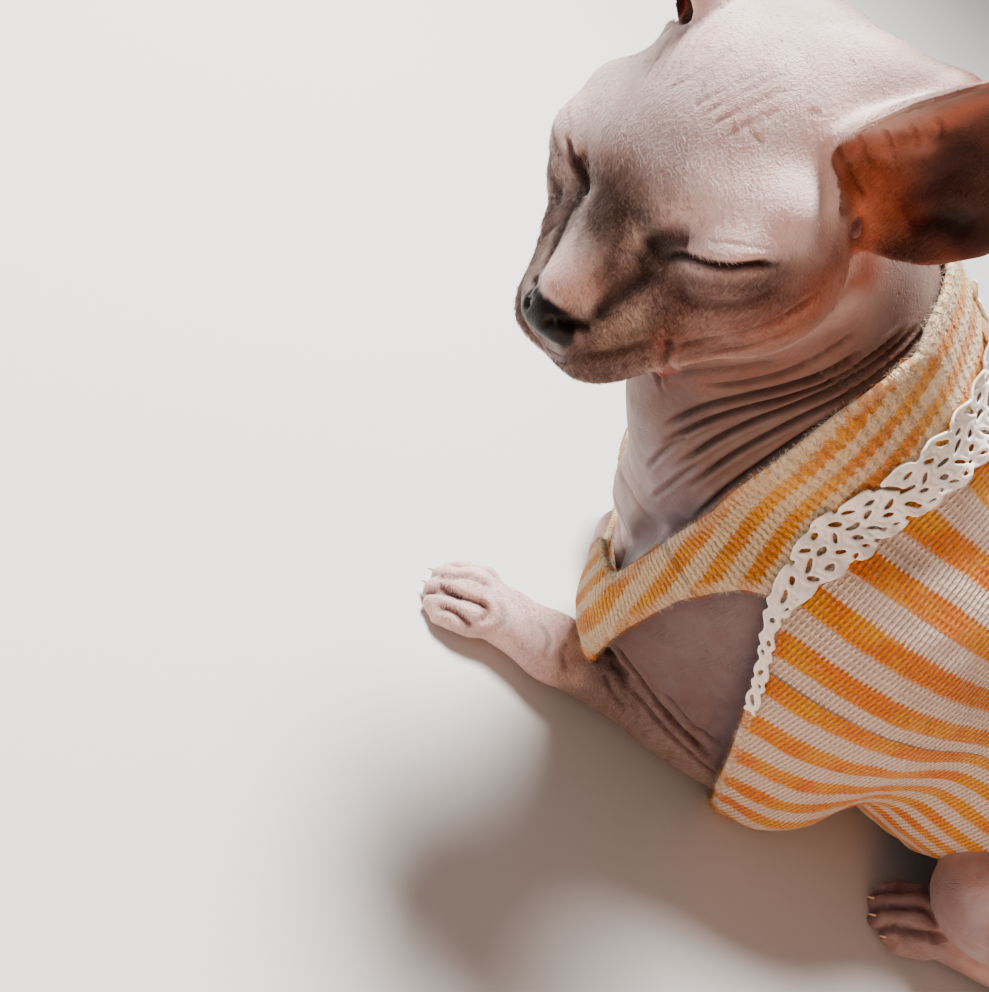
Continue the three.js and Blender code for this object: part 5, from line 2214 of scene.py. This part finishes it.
@dataclass
class Vest:
    """The knitted vest: yoke, sides and rolled edges."""

    anatomy: Anatomy
    offset: float = 4.0
    middle: tuple[float, float] = (152.0, 84.0)
    hem: float = 262.0
    pole: float = 18.0
    cap_rows: int = 56
    side_rows: int = 92
    columns: int = 560
    neck: tuple = (
        (0, 31), (12, 34), (20, 40), (29, 53), (36, 63), (41.5, 72), (44.5, 80), (46, 92), (46, 113),
        (48.5, 132), (49.5, 145), (47, 158), (41, 168), (20, 175), (0, 178),
    )
    front: tuple = ((38, 60), (62, 98), (80, 100.5), (103, 104.3), (150, 104.3), (168, 109))
    nape: tuple = ((90, 119), (103, 104.2), (150, 104.6), (168, 109.4), (177, 118))
    seam: tuple = (
        (0, 128), (88, 128), (104, 129), (122, 131), (140, 134), (156, 139), (166, 140), (173, 136),
    )
    lean: float = 0.075
    stripe_home: tuple = (60.0, 145.0, 107.0)
    armhole: tuple = (
        (131, 101), (126, 101), (120, 96), (115.5, 89), (111, 78), (109, 68), (107, 56), (106.6, 49),
        (108, 39), (111.4, 29), (118, 16), (124, 4), (124, -20), (192, -20),
        (183, 6), (168.5, 28), (161, 43.5), (153, 58), (143, 77), (137, 89),
    )
    far_back: float = 14.0
    roll: float = 1.25
    yoke_length: float = 0.30
    body_length: float = 0.36
    cutting: float = 1.3
    pieces: list = field(default_factory=list)

    def form(self) -> Blend:
        """Makes the rounded form that the cloth lies on.

        Returns:
            The form.
        """
        sleeves = both(lambda s: Egg((s * 36, 164, 60), (30, 54, 60)))
        arms = both(self.anatomy.upper_arm)
        return Blend(18, (self.anatomy.body(), *arms, *sleeves))

    def opening(self, points: np.ndarray) -> np.ndarray:
        """Finds how far each point of the cloth lies from the nearest edge.

        Args:
            points: Places, one a row.

        Returns:
            One distance for each point, below zero where there is no cloth.
        """
        half = np.array(self.neck, float)
        wide = half * (-1, 1)
        wide[:, 0] -= 3.5 * smooth(31, 42, half[:, 1]) * smooth(112, 84, half[:, 1])
        hole = np.vstack([half, wide[-2:0:-1]])
        far = smooth(-6, -18, points[:, 0]) * smooth(32, 50, points[:, 2]) * smooth(134, 120, points[:, 1])
        nape = np.interp(points[:, 2], *np.array(self.nape, float).T)
        neck = np.maximum(outline_distance(points[:, [0, 2]], hole), points[:, 1] - nape)
        front = np.interp(points[:, 2], *np.array(self.front, float).T)
        neck = np.minimum(neck, points[:, 1] - front - self.far_back * far * smooth(158, 136, points[:, 2]))
        lag = self.far_back * far * smooth(104, 94, points[:, 2])
        arm = outline_distance(points[:, 1:] - np.stack([lag, 0 * far], 1), np.array(self.armhole, float))
        arm = np.maximum(arm, 12 - np.abs(points[:, 0]))
        return np.minimum(np.minimum(neck, arm), self.hem - points[:, 1])

    def radius(self, origins: np.ndarray, aims: np.ndarray) -> np.ndarray:
        """Finds how far from each origin the cloth lies.

        Args:
            origins: Places inside, one a row.
            aims: Which way to go from each.

        Returns:
            One distance for each.
        """
        form = self.form()
        near, far = np.zeros(len(origins)), np.full(len(origins), 20.0)
        for _ in range(40):
            d = form.distance(origins + aims * far[:, None]) - self.offset
            out = d >= 0
            near = np.where(out, near, far)
            far = np.where(out, far, far + np.maximum(-d * 0.6, 0.8))
        for _ in range(14):
            mid = (near + far) / 2
            out = form.distance(origins + aims * mid[:, None]) >= self.offset
            near, far = np.where(out, near, mid), np.where(out, mid, far)
        return (near + far) / 2

    def rays(self, rows: int, columns: int, cap: int) -> tuple[np.ndarray, np.ndarray]:
        """Origins and aims of a net of rays from the trunk's middle line.

        Args:
            rows: How many rings.
            columns: How many rays a ring.
            cap: How many of the rings belong to the rounded front.

        Returns:
            Origins and aims, each rows by columns by three.
        """
        angle = np.linspace(0, 2 * math.pi, columns, endpoint=False)
        lean = np.full(rows, math.pi / 2)
        lean[:cap] = np.radians(np.linspace(self.pole, 90, cap, endpoint=False))
        back = np.full(rows, self.middle[0])
        back[cap:] = np.linspace(self.middle[0], self.hem, rows - cap)
        aims = np.stack([
            np.sin(lean)[:, None] * np.cos(angle),
            np.repeat(-np.cos(lean)[:, None], columns, axis=1),
            np.sin(lean)[:, None] * np.sin(angle),
        ], axis=2)
        origins = np.zeros_like(aims)
        origins[:, :, 1] = back[:, None]
        origins[:, :, 2] = self.middle[1]
        return origins, aims

    def net(self) -> np.ndarray:
        """Casts the cloth as a net.

        Returns:
            Its points, rows by columns by three.
        """
        coarse = 4
        rows, columns = self.cap_rows + self.side_rows, self.columns
        origins, aims = self.rays(rows // coarse + 1, columns // coarse, self.cap_rows // coarse)
        flat = self.radius(origins.reshape(-1, 3), aims.reshape(-1, 3)).reshape(origins.shape[:2])
        flat = np.hstack([flat, flat[:, :1]])
        high, wide = flat.shape
        r = np.linspace(0, high - 1, rows)
        c = np.arange(columns) / coarse
        upright = np.array([np.interp(r, np.arange(high), flat[:, k]) for k in range(wide)]).T
        full = np.array([np.interp(c, np.arange(wide), upright[k]) for k in range(rows)])
        origins, aims = self.rays(rows, columns, self.cap_rows)
        return origins + aims * full[:, :, None]

    def seam_at(self, height: np.ndarray) -> np.ndarray:
        """How far back the shoulder seam lies at a height."""
        return np.interp(height, *np.array(self.seam, float).T)

    def room(self, points: np.ndarray, side: int) -> np.ndarray:
        """How far each point of the yoke (-1) or the body (1) lies from its nearest edge."""
        return np.minimum(self.opening(points), (points[:, 1] - self.seam_at(points[:, 2])) * side)

    def slope(self, points: np.ndarray, side: int) -> np.ndarray:
        """Finds which way each point's distance from the edge grows.

        Args:
            points: Places, one a row.
            side: -1 for the yoke, 1 for the body.

        Returns:
            Directions, one a row.
        """
        step = 0.3
        start = self.room(points, side)
        rises = [self.room(points + step * axis, side) - start for axis in np.eye(3)]
        return np.stack([rise / step for rise in rises], axis=1)

    def girth(self, net: np.ndarray) -> np.ndarray:
        """Measures the way round the body, from its left side.

        Args:
            net: The cloth's points.

        Returns:
            The arc length to each column.
        """
        ring = net[(self.cap_rows + net.shape[0]) // 2]
        steps = np.linalg.norm(np.diff(np.vstack([ring, ring[:1]]), axis=0), axis=1)
        return np.concatenate([[0], np.cumsum(steps)[:-1]])

    def build(self) -> list[bpy.types.Object]:
        """Makes and dresses the yoke and the body of the vest.

        Returns:
            The two pieces.
        """
        net = self.net()
        rows, columns = net.shape[:2]
        points = net.reshape(-1, 3)
        quads = net_faces(rows, columns, closed=True)
        across = np.roll(net, -1, 1) - np.roll(net, 1, 1)
        outward = unit(np.cross(across.reshape(-1, 3), np.gradient(net, axis=0).reshape(-1, 3)))
        outward *= np.sign((outward * (points - (0, 0, self.middle[1])))[:, [0, 2]].sum(1))[:, None]
        ripple = noise(points * (1, 0.45, 1), 15, 31) * smooth(118, 150, points[:, 1])
        points += outward * (0.9 * ripple + 0.5 * noise(points, 8, 33))[:, None]
        arc = np.tile(self.girth(net), rows)
        home = np.argmin(np.linalg.norm(points - self.stripe_home, axis=1))
        for side, name in ((-1, "vest_yoke"), (1, "vest_body")):
            if side < 0:
                inward = np.maximum(0, 50 - np.abs(points[:, 0])) * smooth(88, 66, points[:, 2])
                row = points[:, 1] + self.lean * (points[:, 2] - 110) - 112 - 0.8 * inward
                rib = arc
            else:
                row = arc - arc[home]
                rib = points[:, 1] + 0.12 * np.abs(points[:, 0])
            self.pieces.append(self.panel(name, points, outward, quads, side, row, rib))
        return self.pieces

    def panel(
        self, name: str, points: np.ndarray, outward: np.ndarray, quads: np.ndarray, side: int,
        row: np.ndarray, rib: np.ndarray,
    ) -> bpy.types.Object:
        """Makes one part of the vest with clean, rolled edges.

        Args:
            name: The piece's name.
            points: The net's points.
            outward: Their normals.
            quads: Its faces.
            side: -1 in front of the seam, 1 behind it.
            row: Each point's place across the stripes.
            rib: Each point's place along them.

        Returns:
            The piece.
        """
        used, faces = used_only(quads[np.all(self.room(points, side)[quads] > -0.55, axis=1)], len(points))
        points, outward = points[used].copy(), outward[used]
        rim = rim_of(faces, len(points))
        edge = np.unique(rim)
        away = self.trim(points, outward, faces, rim, side)
        level = self.room(points, side)
        swell = 0.7 * np.exp(-((level - 1.6) / 1.3) ** 2)
        points += outward * swell[:, None]
        rings, strips = self.rolled(points, outward, away, rim)
        turns = len(rings)
        repeat = np.concatenate([np.arange(len(points))] + [edge] * turns)
        level = np.concatenate([level, np.zeros(turns * len(edge))])
        points = np.vstack([points] + rings)
        points[:, 2] = np.maximum(points[:, 2], 0.4)
        piece = mesh_object(name, to_frame(points), np.vstack([faces] + strips).tolist())
        row, rib = row[used][repeat], rib[used][repeat]
        knit = KNITS[side]
        band = smooth(-0.2, 0.3, np.cos(2 * math.pi * row / knit.period))[:, None]
        cream, orange = np.array(YARNS)
        set_attribute(piece, "row", row)
        set_attribute(piece, "rib", rib)
        set_attribute(piece, "level", level)
        set_attribute(piece, "tone", cream + (orange - cream) * band)
        face_outwards(piece)
        smooth_shading(piece)
        piece.data.materials.append(knit.material())
        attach(piece, "root")
        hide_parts("vest")
        return piece

    def trim(
        self, points: np.ndarray, outward: np.ndarray, faces: np.ndarray, rim: np.ndarray, side: int
    ) -> np.ndarray:
        """Moves a part's outermost points onto its edge and evens out those beside them.

        Args:
            points: The part's points, which are moved.
            outward: Their normals.
            faces: Its faces.
            rim: Its outermost sides.
            side: -1 in front of the seam, 1 behind it.

        Returns:
            Which way out of the cloth each outermost point faces.
        """
        edge = np.unique(rim)
        for _ in range(3):
            slope = self.slope(points[edge], side)
            slope -= outward[edge] * (slope * outward[edge]).sum(1, keepdims=True)
            move = self.room(points[edge], side)[:, None] * slope
            move = move / np.maximum((slope ** 2).sum(1, keepdims=True), 0.3)
            length = np.maximum(np.linalg.norm(move, axis=1, keepdims=True), 1e-6)
            points[edge] -= move * np.minimum(1, 1.2 / length)
        rank = np.full(len(points), -1)
        rank[edge] = np.arange(len(edge))
        points[edge] = spread(points[edge], rank[rim], 14, 0.5)
        beside = (self.room(points, side) < 4.5) & (rank < 0)
        loose = spread(points, edges_of(faces), 3, 0.7)
        points[beside] = loose[beside]
        away = -self.slope(points[edge], side)
        away = away - outward[edge] * (away * outward[edge]).sum(1, keepdims=True)
        return unit(spread(away, rank[rim], 10) + 1e-9)

    def rolled(
        self, points: np.ndarray, outward: np.ndarray, away: np.ndarray, rim: np.ndarray
    ) -> tuple[list, list]:
        """Rolls the cloth's edge inwards over a small radius.

        Args:
            points: The part's points.
            outward: Their normals.
            away: Which way out of the cloth each outermost point faces.
            rim: Its outermost sides.

        Returns:
            The points of each further ring, and the faces that join it on.
        """
        edge = np.unique(rim)
        place = np.searchsorted(edge, rim)
        rings, strips = [], []
        before = edge
        for n, degrees in enumerate((45, 90, 135, 180)):
            angle = math.radians(degrees)
            out, down = self.roll * math.sin(angle), self.roll * (1 - math.cos(angle))
            rings.append(points[edge] + away * out - outward[edge] * down)
            after = len(points) + n * len(edge) + np.arange(len(edge))
            first, second = place.T
            strips.append(np.stack([before[second], before[first], after[first], after[second]], axis=1))
            before = after
        return rings, strips


@dataclass(frozen=True)
class KnitFinish(Finish):
    """Striped rib knit of soft fuzzy yarn. Periods and widths are in millimetres."""

    period: float
    orange: tuple
    gold: tuple
    cream: tuple
    border: tuple[float, float]
    wander: float
    ragged: float
    valley_shade: float
    ridge: float
    fuzz: float
    pitch: float = 1.7
    stitch: float = 2.0

    def values(self, graph: Graph) -> dict:
        """Reads the stripes and ribs from the mesh, and darkens the rib valleys and the gaps between stitches
        as painted shade.

        Args:
            graph: The material's nodes.

        Returns:
            A socket or a plain value for each of the shader's sockets that are used.
        """
        where = graph.where()
        row, rib = graph.attribute("row"), graph.attribute("rib")
        fuzz = graph.noise(where, 900.0, 3.0, 0.7)
        lump = graph.noise(where, 240.0, 3.0, 0.6)
        rib = graph.plus(rib, graph.times(graph.minus(lump, 0.5), self.wander))
        turn = graph.math("COSINE", graph.times(rib, 2 * math.pi / self.pitch))
        ridge = graph.step(turn, -1.0, 0.7)
        slant = graph.math("ABSOLUTE", graph.math("SINE", graph.times(rib, math.pi / self.pitch)))
        slant = graph.times(slant, 0.8)
        loop = graph.math("SINE", graph.times(graph.plus(row, slant), 2 * math.pi / self.stitch))
        ragged = graph.plus(row, graph.times(graph.minus(fuzz, 0.5), self.ragged))
        ragged = graph.plus(ragged, graph.times(turn, 0.35))
        band = graph.math("COSINE", graph.times(ragged, 2 * math.pi / self.period))
        orange_share = graph.step(band, *self.border)
        warm = graph.mix(graph.step(graph.noise(where, 60.0, 3.0), 0.42, 0.62), self.orange, self.gold)
        colour = graph.mix(orange_share, self.cream, warm)
        # The valleys between the ribs and the gaps between the stitches are darkened: painted shade.
        valley_shade = graph.times(graph.minus(1.0, graph.step(ridge, 0.02, 0.5)), self.valley_shade)
        dark = graph.mix(orange_share, (0.50, 0.33, 0.19, 1), (0.42, 0.13, 0.02, 1))
        colour = graph.mix(valley_shade, colour, dark)
        gap_shade = graph.times(graph.step(loop, 0.55, 0.98), valley_shade)
        colour = graph.mix(graph.times(gap_shade, 0.8), colour, (0.13, 0.06, 0.03, 1))
        pale = graph.step(fuzz, 0.52, 0.72)
        colour = graph.mix(graph.times(pale, 0.35), colour, (0.86, 0.70, 0.52, 1))
        near_edge = graph.minus(1.0, graph.step(graph.attribute("level"), 0.4, 2.4))
        height = graph.plus(graph.times(ridge, self.ridge), graph.times(loop, 0.2))
        height = graph.plus(height, graph.times(fuzz, self.fuzz))
        return {
            "Base Color": graph.mix(graph.times(near_edge, 0.45), colour, (0.78, 0.64, 0.48, 1)),
            "Roughness": graph.plus(graph.times(fuzz, 0.12), 0.82),
            "Normal": graph.bump(height, 0.0007, 0.9),
            "Sheen Weight": 0.4,
            "Sheen Roughness": 0.5,
            "Specular IOR Level": 0.2,
        }


# The yoke is in front of the seam, -1, and the body behind it, 1.
KNITS = {
    -1: KnitFinish(
        "knit_vest_yoke", 8.0, (0.66, 0.25, 0.04, 1), (0.78, 0.38, 0.06, 1), (0.74, 0.57, 0.37, 1),
        border=(-0.30, 0.34), wander=1.6, ragged=4.0, valley_shade=0.4, ridge=0.5, fuzz=2.0,
    ),
    1: KnitFinish(
        "knit_vest_body", 12.8, (0.90, 0.24, 0.012, 1), (0.93, 0.41, 0.022, 1), (0.87, 0.71, 0.61, 1),
        border=(-0.12, 0.16), wander=0.6, ragged=2.0, valley_shade=0.6, ridge=1.0, fuzz=0.9,
    ),
}


# The lace


@dataclass(frozen=True)
class EyeletRow:
    """One row of slanting oval holes. Lengths are in millimetres, the turn is in radians."""

    middle: float
    pitch: float
    start: float
    long: float
    wide: float
    turn: float

    def outside(self, along: np.ndarray, across: np.ndarray) -> np.ndarray:
        """Finds how far each place lies outside the row's nearest hole.

        Args:
            along: Place along the strip.
            across: Place across it from the middle.

        Returns:
            Distances, below zero in a hole.
        """
        number = np.floor((along - self.start + self.pitch / 2) / self.pitch)
        uneven = np.sin(number * 2.3 + self.middle * 1.7)
        step = along - self.start - number * self.pitch - 0.35 * uneven
        rise = across - self.middle - 0.6 * np.sin(along * 0.7 + self.middle)
        c, s = np.cos(self.turn + 0.35 * uneven), np.sin(self.turn + 0.35 * uneven)
        u, v = step * c + rise * s, rise * c - step * s
        return (np.hypot(u / (self.long * (1 + 0.2 * uneven)), v / self.wide) - 1) * min(self.long, self.wide)


EYELET_ROWS = (
    EyeletRow(-4.4, 5.2, 0.0, 1.9, 0.95, 0.5),
    EyeletRow(-0.6, 5.2, 2.6, 2.1, 0.85, -0.4),
    EyeletRow(3.2, 5.2, 0.5, 1.7, 0.9, 0.7),
    EyeletRow(6.3, 3.4, 1.2, 1.1, 0.75, 0.1),
    EyeletRow(-7.3, 3.4, 0.8, 0.9, 0.65, -0.1),
)


@dataclass
class Lace:
    """Crocheted lace with eyelets and a scalloped edge, over one shoulder seam."""

    vest: Vest
    side: int
    cell: float = 0.42
    lift: float = 1.3
    thick: float = 0.65
    scallop: float = 9.5
    picot: float = 5.2
    path: tuple = (
        (68, 147, 70), (66.5, 139.5, 83), (63, 131.5, 95), (60, 129.4, 101), (54.9, 129.2, 109.4),
        (49.5, 130.8, 122), (44, 134.5, 138), (36, 138, 152), (27, 139, 163), (17, 138, 169), (8, 136, 172),
    )
    half_widths: tuple = ((0, 2.4), (0.24, 2.9), (0.34, 4.6), (0.46, 8.4), (1.0, 9.2))
    piece: bpy.types.Object = None

    @staticmethod
    def uneven(along: np.ndarray) -> np.ndarray:
        """Places along the strip with the small unevenness of handwork."""
        return along + 0.9 * np.sin(along * 0.55)

    def eyelets(self, along: np.ndarray, across: np.ndarray, half: np.ndarray) -> np.ndarray:
        """How far each place lies outside the nearest hole, in millimetres.

        Args:
            along: Place along the strip.
            across: Place across it from the middle.
            half: The strip's half width there.

        Returns:
            Distances, below zero in a hole.
        """
        out = np.full(along.shape, 9.0)
        for row in EYELET_ROWS:
            out = np.minimum(out, row.outside(along, across))
        out = np.where(np.abs(across) > half - 1.1, 9.0, out)
        picot = (self.uneven(along) + self.picot / 2) % self.picot - self.picot / 2
        shift = across - 0.7 * np.sin(along * 0.8)
        loop = (np.hypot(picot / 1.25, shift / 0.9) - 1) * 0.9
        return np.where(half < 3.4, np.where(half > 1.9, loop, 9.0), out)

    def build(self) -> bpy.types.Object:
        """Makes and dresses the strip.

        Returns:
            The lace.
        """
        line = catmull(np.array(self.path, float) * (self.side, 1, 1), 400)
        steps = np.linalg.norm(np.diff(line, axis=0), axis=1)
        length = np.concatenate([[0], np.cumsum(steps)])
        count, wide = int(length[-1] / self.cell), 24
        u = np.linspace(0, length[-1], count)
        v = np.arange(-wide, wide + 1) * self.cell
        middle = np.stack([np.interp(u, length, line[:, a]) for a in range(3)], axis=1)
        spots = np.repeat(middle[:, None, :], len(v), axis=1)
        spots[:, :, 1] += v[None, :]
        origin = np.zeros_like(spots)
        origin[:, :, 1] = spots[:, :, 1]
        origin[:, :, 2] = self.vest.middle[1]
        aims = spots - origin
        aims[:, :, 1] = 0
        aims = unit(aims.reshape(-1, 3))
        origin = origin.reshape(-1, 3)
        coarse = self.vest.radius(origin, aims)
        along = np.repeat(u, len(v))
        across = np.tile(v, count)
        share = along / length[-1]
        half = np.interp(share, *np.array(self.half_widths, float).T)
        wave = np.abs(np.sin(along * math.pi / self.scallop))
        picots = np.abs(np.sin((self.uneven(along) - self.picot / 2) * math.pi / self.picot))
        limit = np.where(half < 3.4, half * (0.5 + 0.5 * picots), half * (0.8 + 0.2 * wave) + 0.4)
        hole = self.eyelets(along, across, half)
        inside = np.minimum(limit - np.abs(across), hole)
        cord = 0.35 * np.exp(-((inside - 0.45) / 0.4) ** 2)
        outer = np.clip(np.abs(across) / 9, 0, 1)
        ruffle = 0.8 * np.sin(along * 0.75 + across * 0.12) * outer ** 1.5 + 1.3 * outer ** 3
        points = origin + aims * (coarse + self.lift + cord + np.maximum(ruffle, -0.3))[:, None]
        quads = net_faces(count, len(v))
        quads = quads[inside[quads].mean(axis=1) > 0]
        used, faces = used_only(quads, len(points))
        side_name = "left" if self.side > 0 else "right"
        points = self.rounded(points[used], faces)
        self.piece = mesh_object(f"shoulder_lace_{side_name}", to_frame(points), faces.tolist())
        set_attribute(self.piece, "cord", cord[used])
        add_modifier(self.piece, "SOLIDIFY", thickness=self.thick * MM, offset=0.0)
        face_outwards(self.piece)
        smooth_shading(self.piece)
        self.piece.data.materials.append(LaceFinish().material())
        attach(self.piece, "root")
        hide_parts(f"lace_{side_name}")
        return self.piece

    @staticmethod
    def rounded(points: np.ndarray, faces: np.ndarray) -> np.ndarray:
        """Smooths the strip's edges and the rims of its holes.

        Args:
            points: The strip's points.
            faces: Its faces.

        Returns:
            The smoothed points.
        """
        rim = np.sort(rim_of(faces, len(points)), axis=1)
        out = points.copy()
        for _ in range(6):
            total, number = np.zeros_like(out), np.zeros(len(out))
            for a, b in ((0, 1), (1, 0)):
                np.add.at(total, rim[:, a], out[rim[:, b]])
                np.add.at(number, rim[:, a], 1)
            edge = number > 0
            out[edge] += 0.5 * (total[edge] / number[edge, None] - out[edge])
        return out


@dataclass(frozen=True)
class LaceFinish(Finish):
    """White cotton crochet thread."""

    name: str = "lace"

    def values(self, graph: Graph) -> dict:
        """Mixes thread and the shade between its loops.

        Args:
            graph: The material's nodes.

        Returns:
            A socket or a plain value for each of the shader's sockets that are used.
        """
        where = graph.where()
        thread = graph.noise(where, 1300.0, 3.0, 0.7)
        at = {"Vector": where, "Scale": 620.0}
        cells = graph.add("ShaderNodeTexVoronoi", at, feature="DISTANCE_TO_EDGE")
        knot = graph.step(cells.outputs["Distance"], 0.0, 0.16)
        colour = graph.mix(graph.step(thread, 0.3, 0.7), (0.66, 0.54, 0.46, 1), (0.90, 0.83, 0.77, 1))
        height = graph.plus(graph.times(knot, 0.9), graph.times(thread, 0.6))
        return {
            "Base Color": graph.mix(graph.minus(1.0, knot), colour, (0.50, 0.38, 0.30, 1)),
            "Roughness": graph.plus(graph.times(thread, 0.1), 0.78),
            "Normal": graph.bump(height, 0.0007, 0.9),
            "Sheen Weight": 0.25,
        }


def main() -> None:
    """Builds the cat, piece by piece."""
    logging.basicConfig(level=logging.INFO, format="%(message)s")
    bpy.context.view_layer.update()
    lens = Lens()
    Studio(lens).build()
    anatomy = Anatomy()
    vest = Vest(anatomy)
    vest.build()
    for piece in vest.pieces:
        log.info("%s: %d faces", piece.name, len(piece.data.polygons))
    for side in (1, -1):
        lace = Lace(vest, side)
        lace.build()
        log.info("%s: %d faces", lace.piece.name, len(lace.piece.data.polygons))
    skin = Skin(anatomy, lens, vest)
    skin.build()
    log.info("skin: %d faces", len(skin.piece.data.polygons))
    for piece in Bloom(skin).build() + Claws().build() + Fluff(vest).build():
        log.info("%s: %d faces", piece.name, len(piece.data.polygons))


if __name__ == "__main__":
    main()
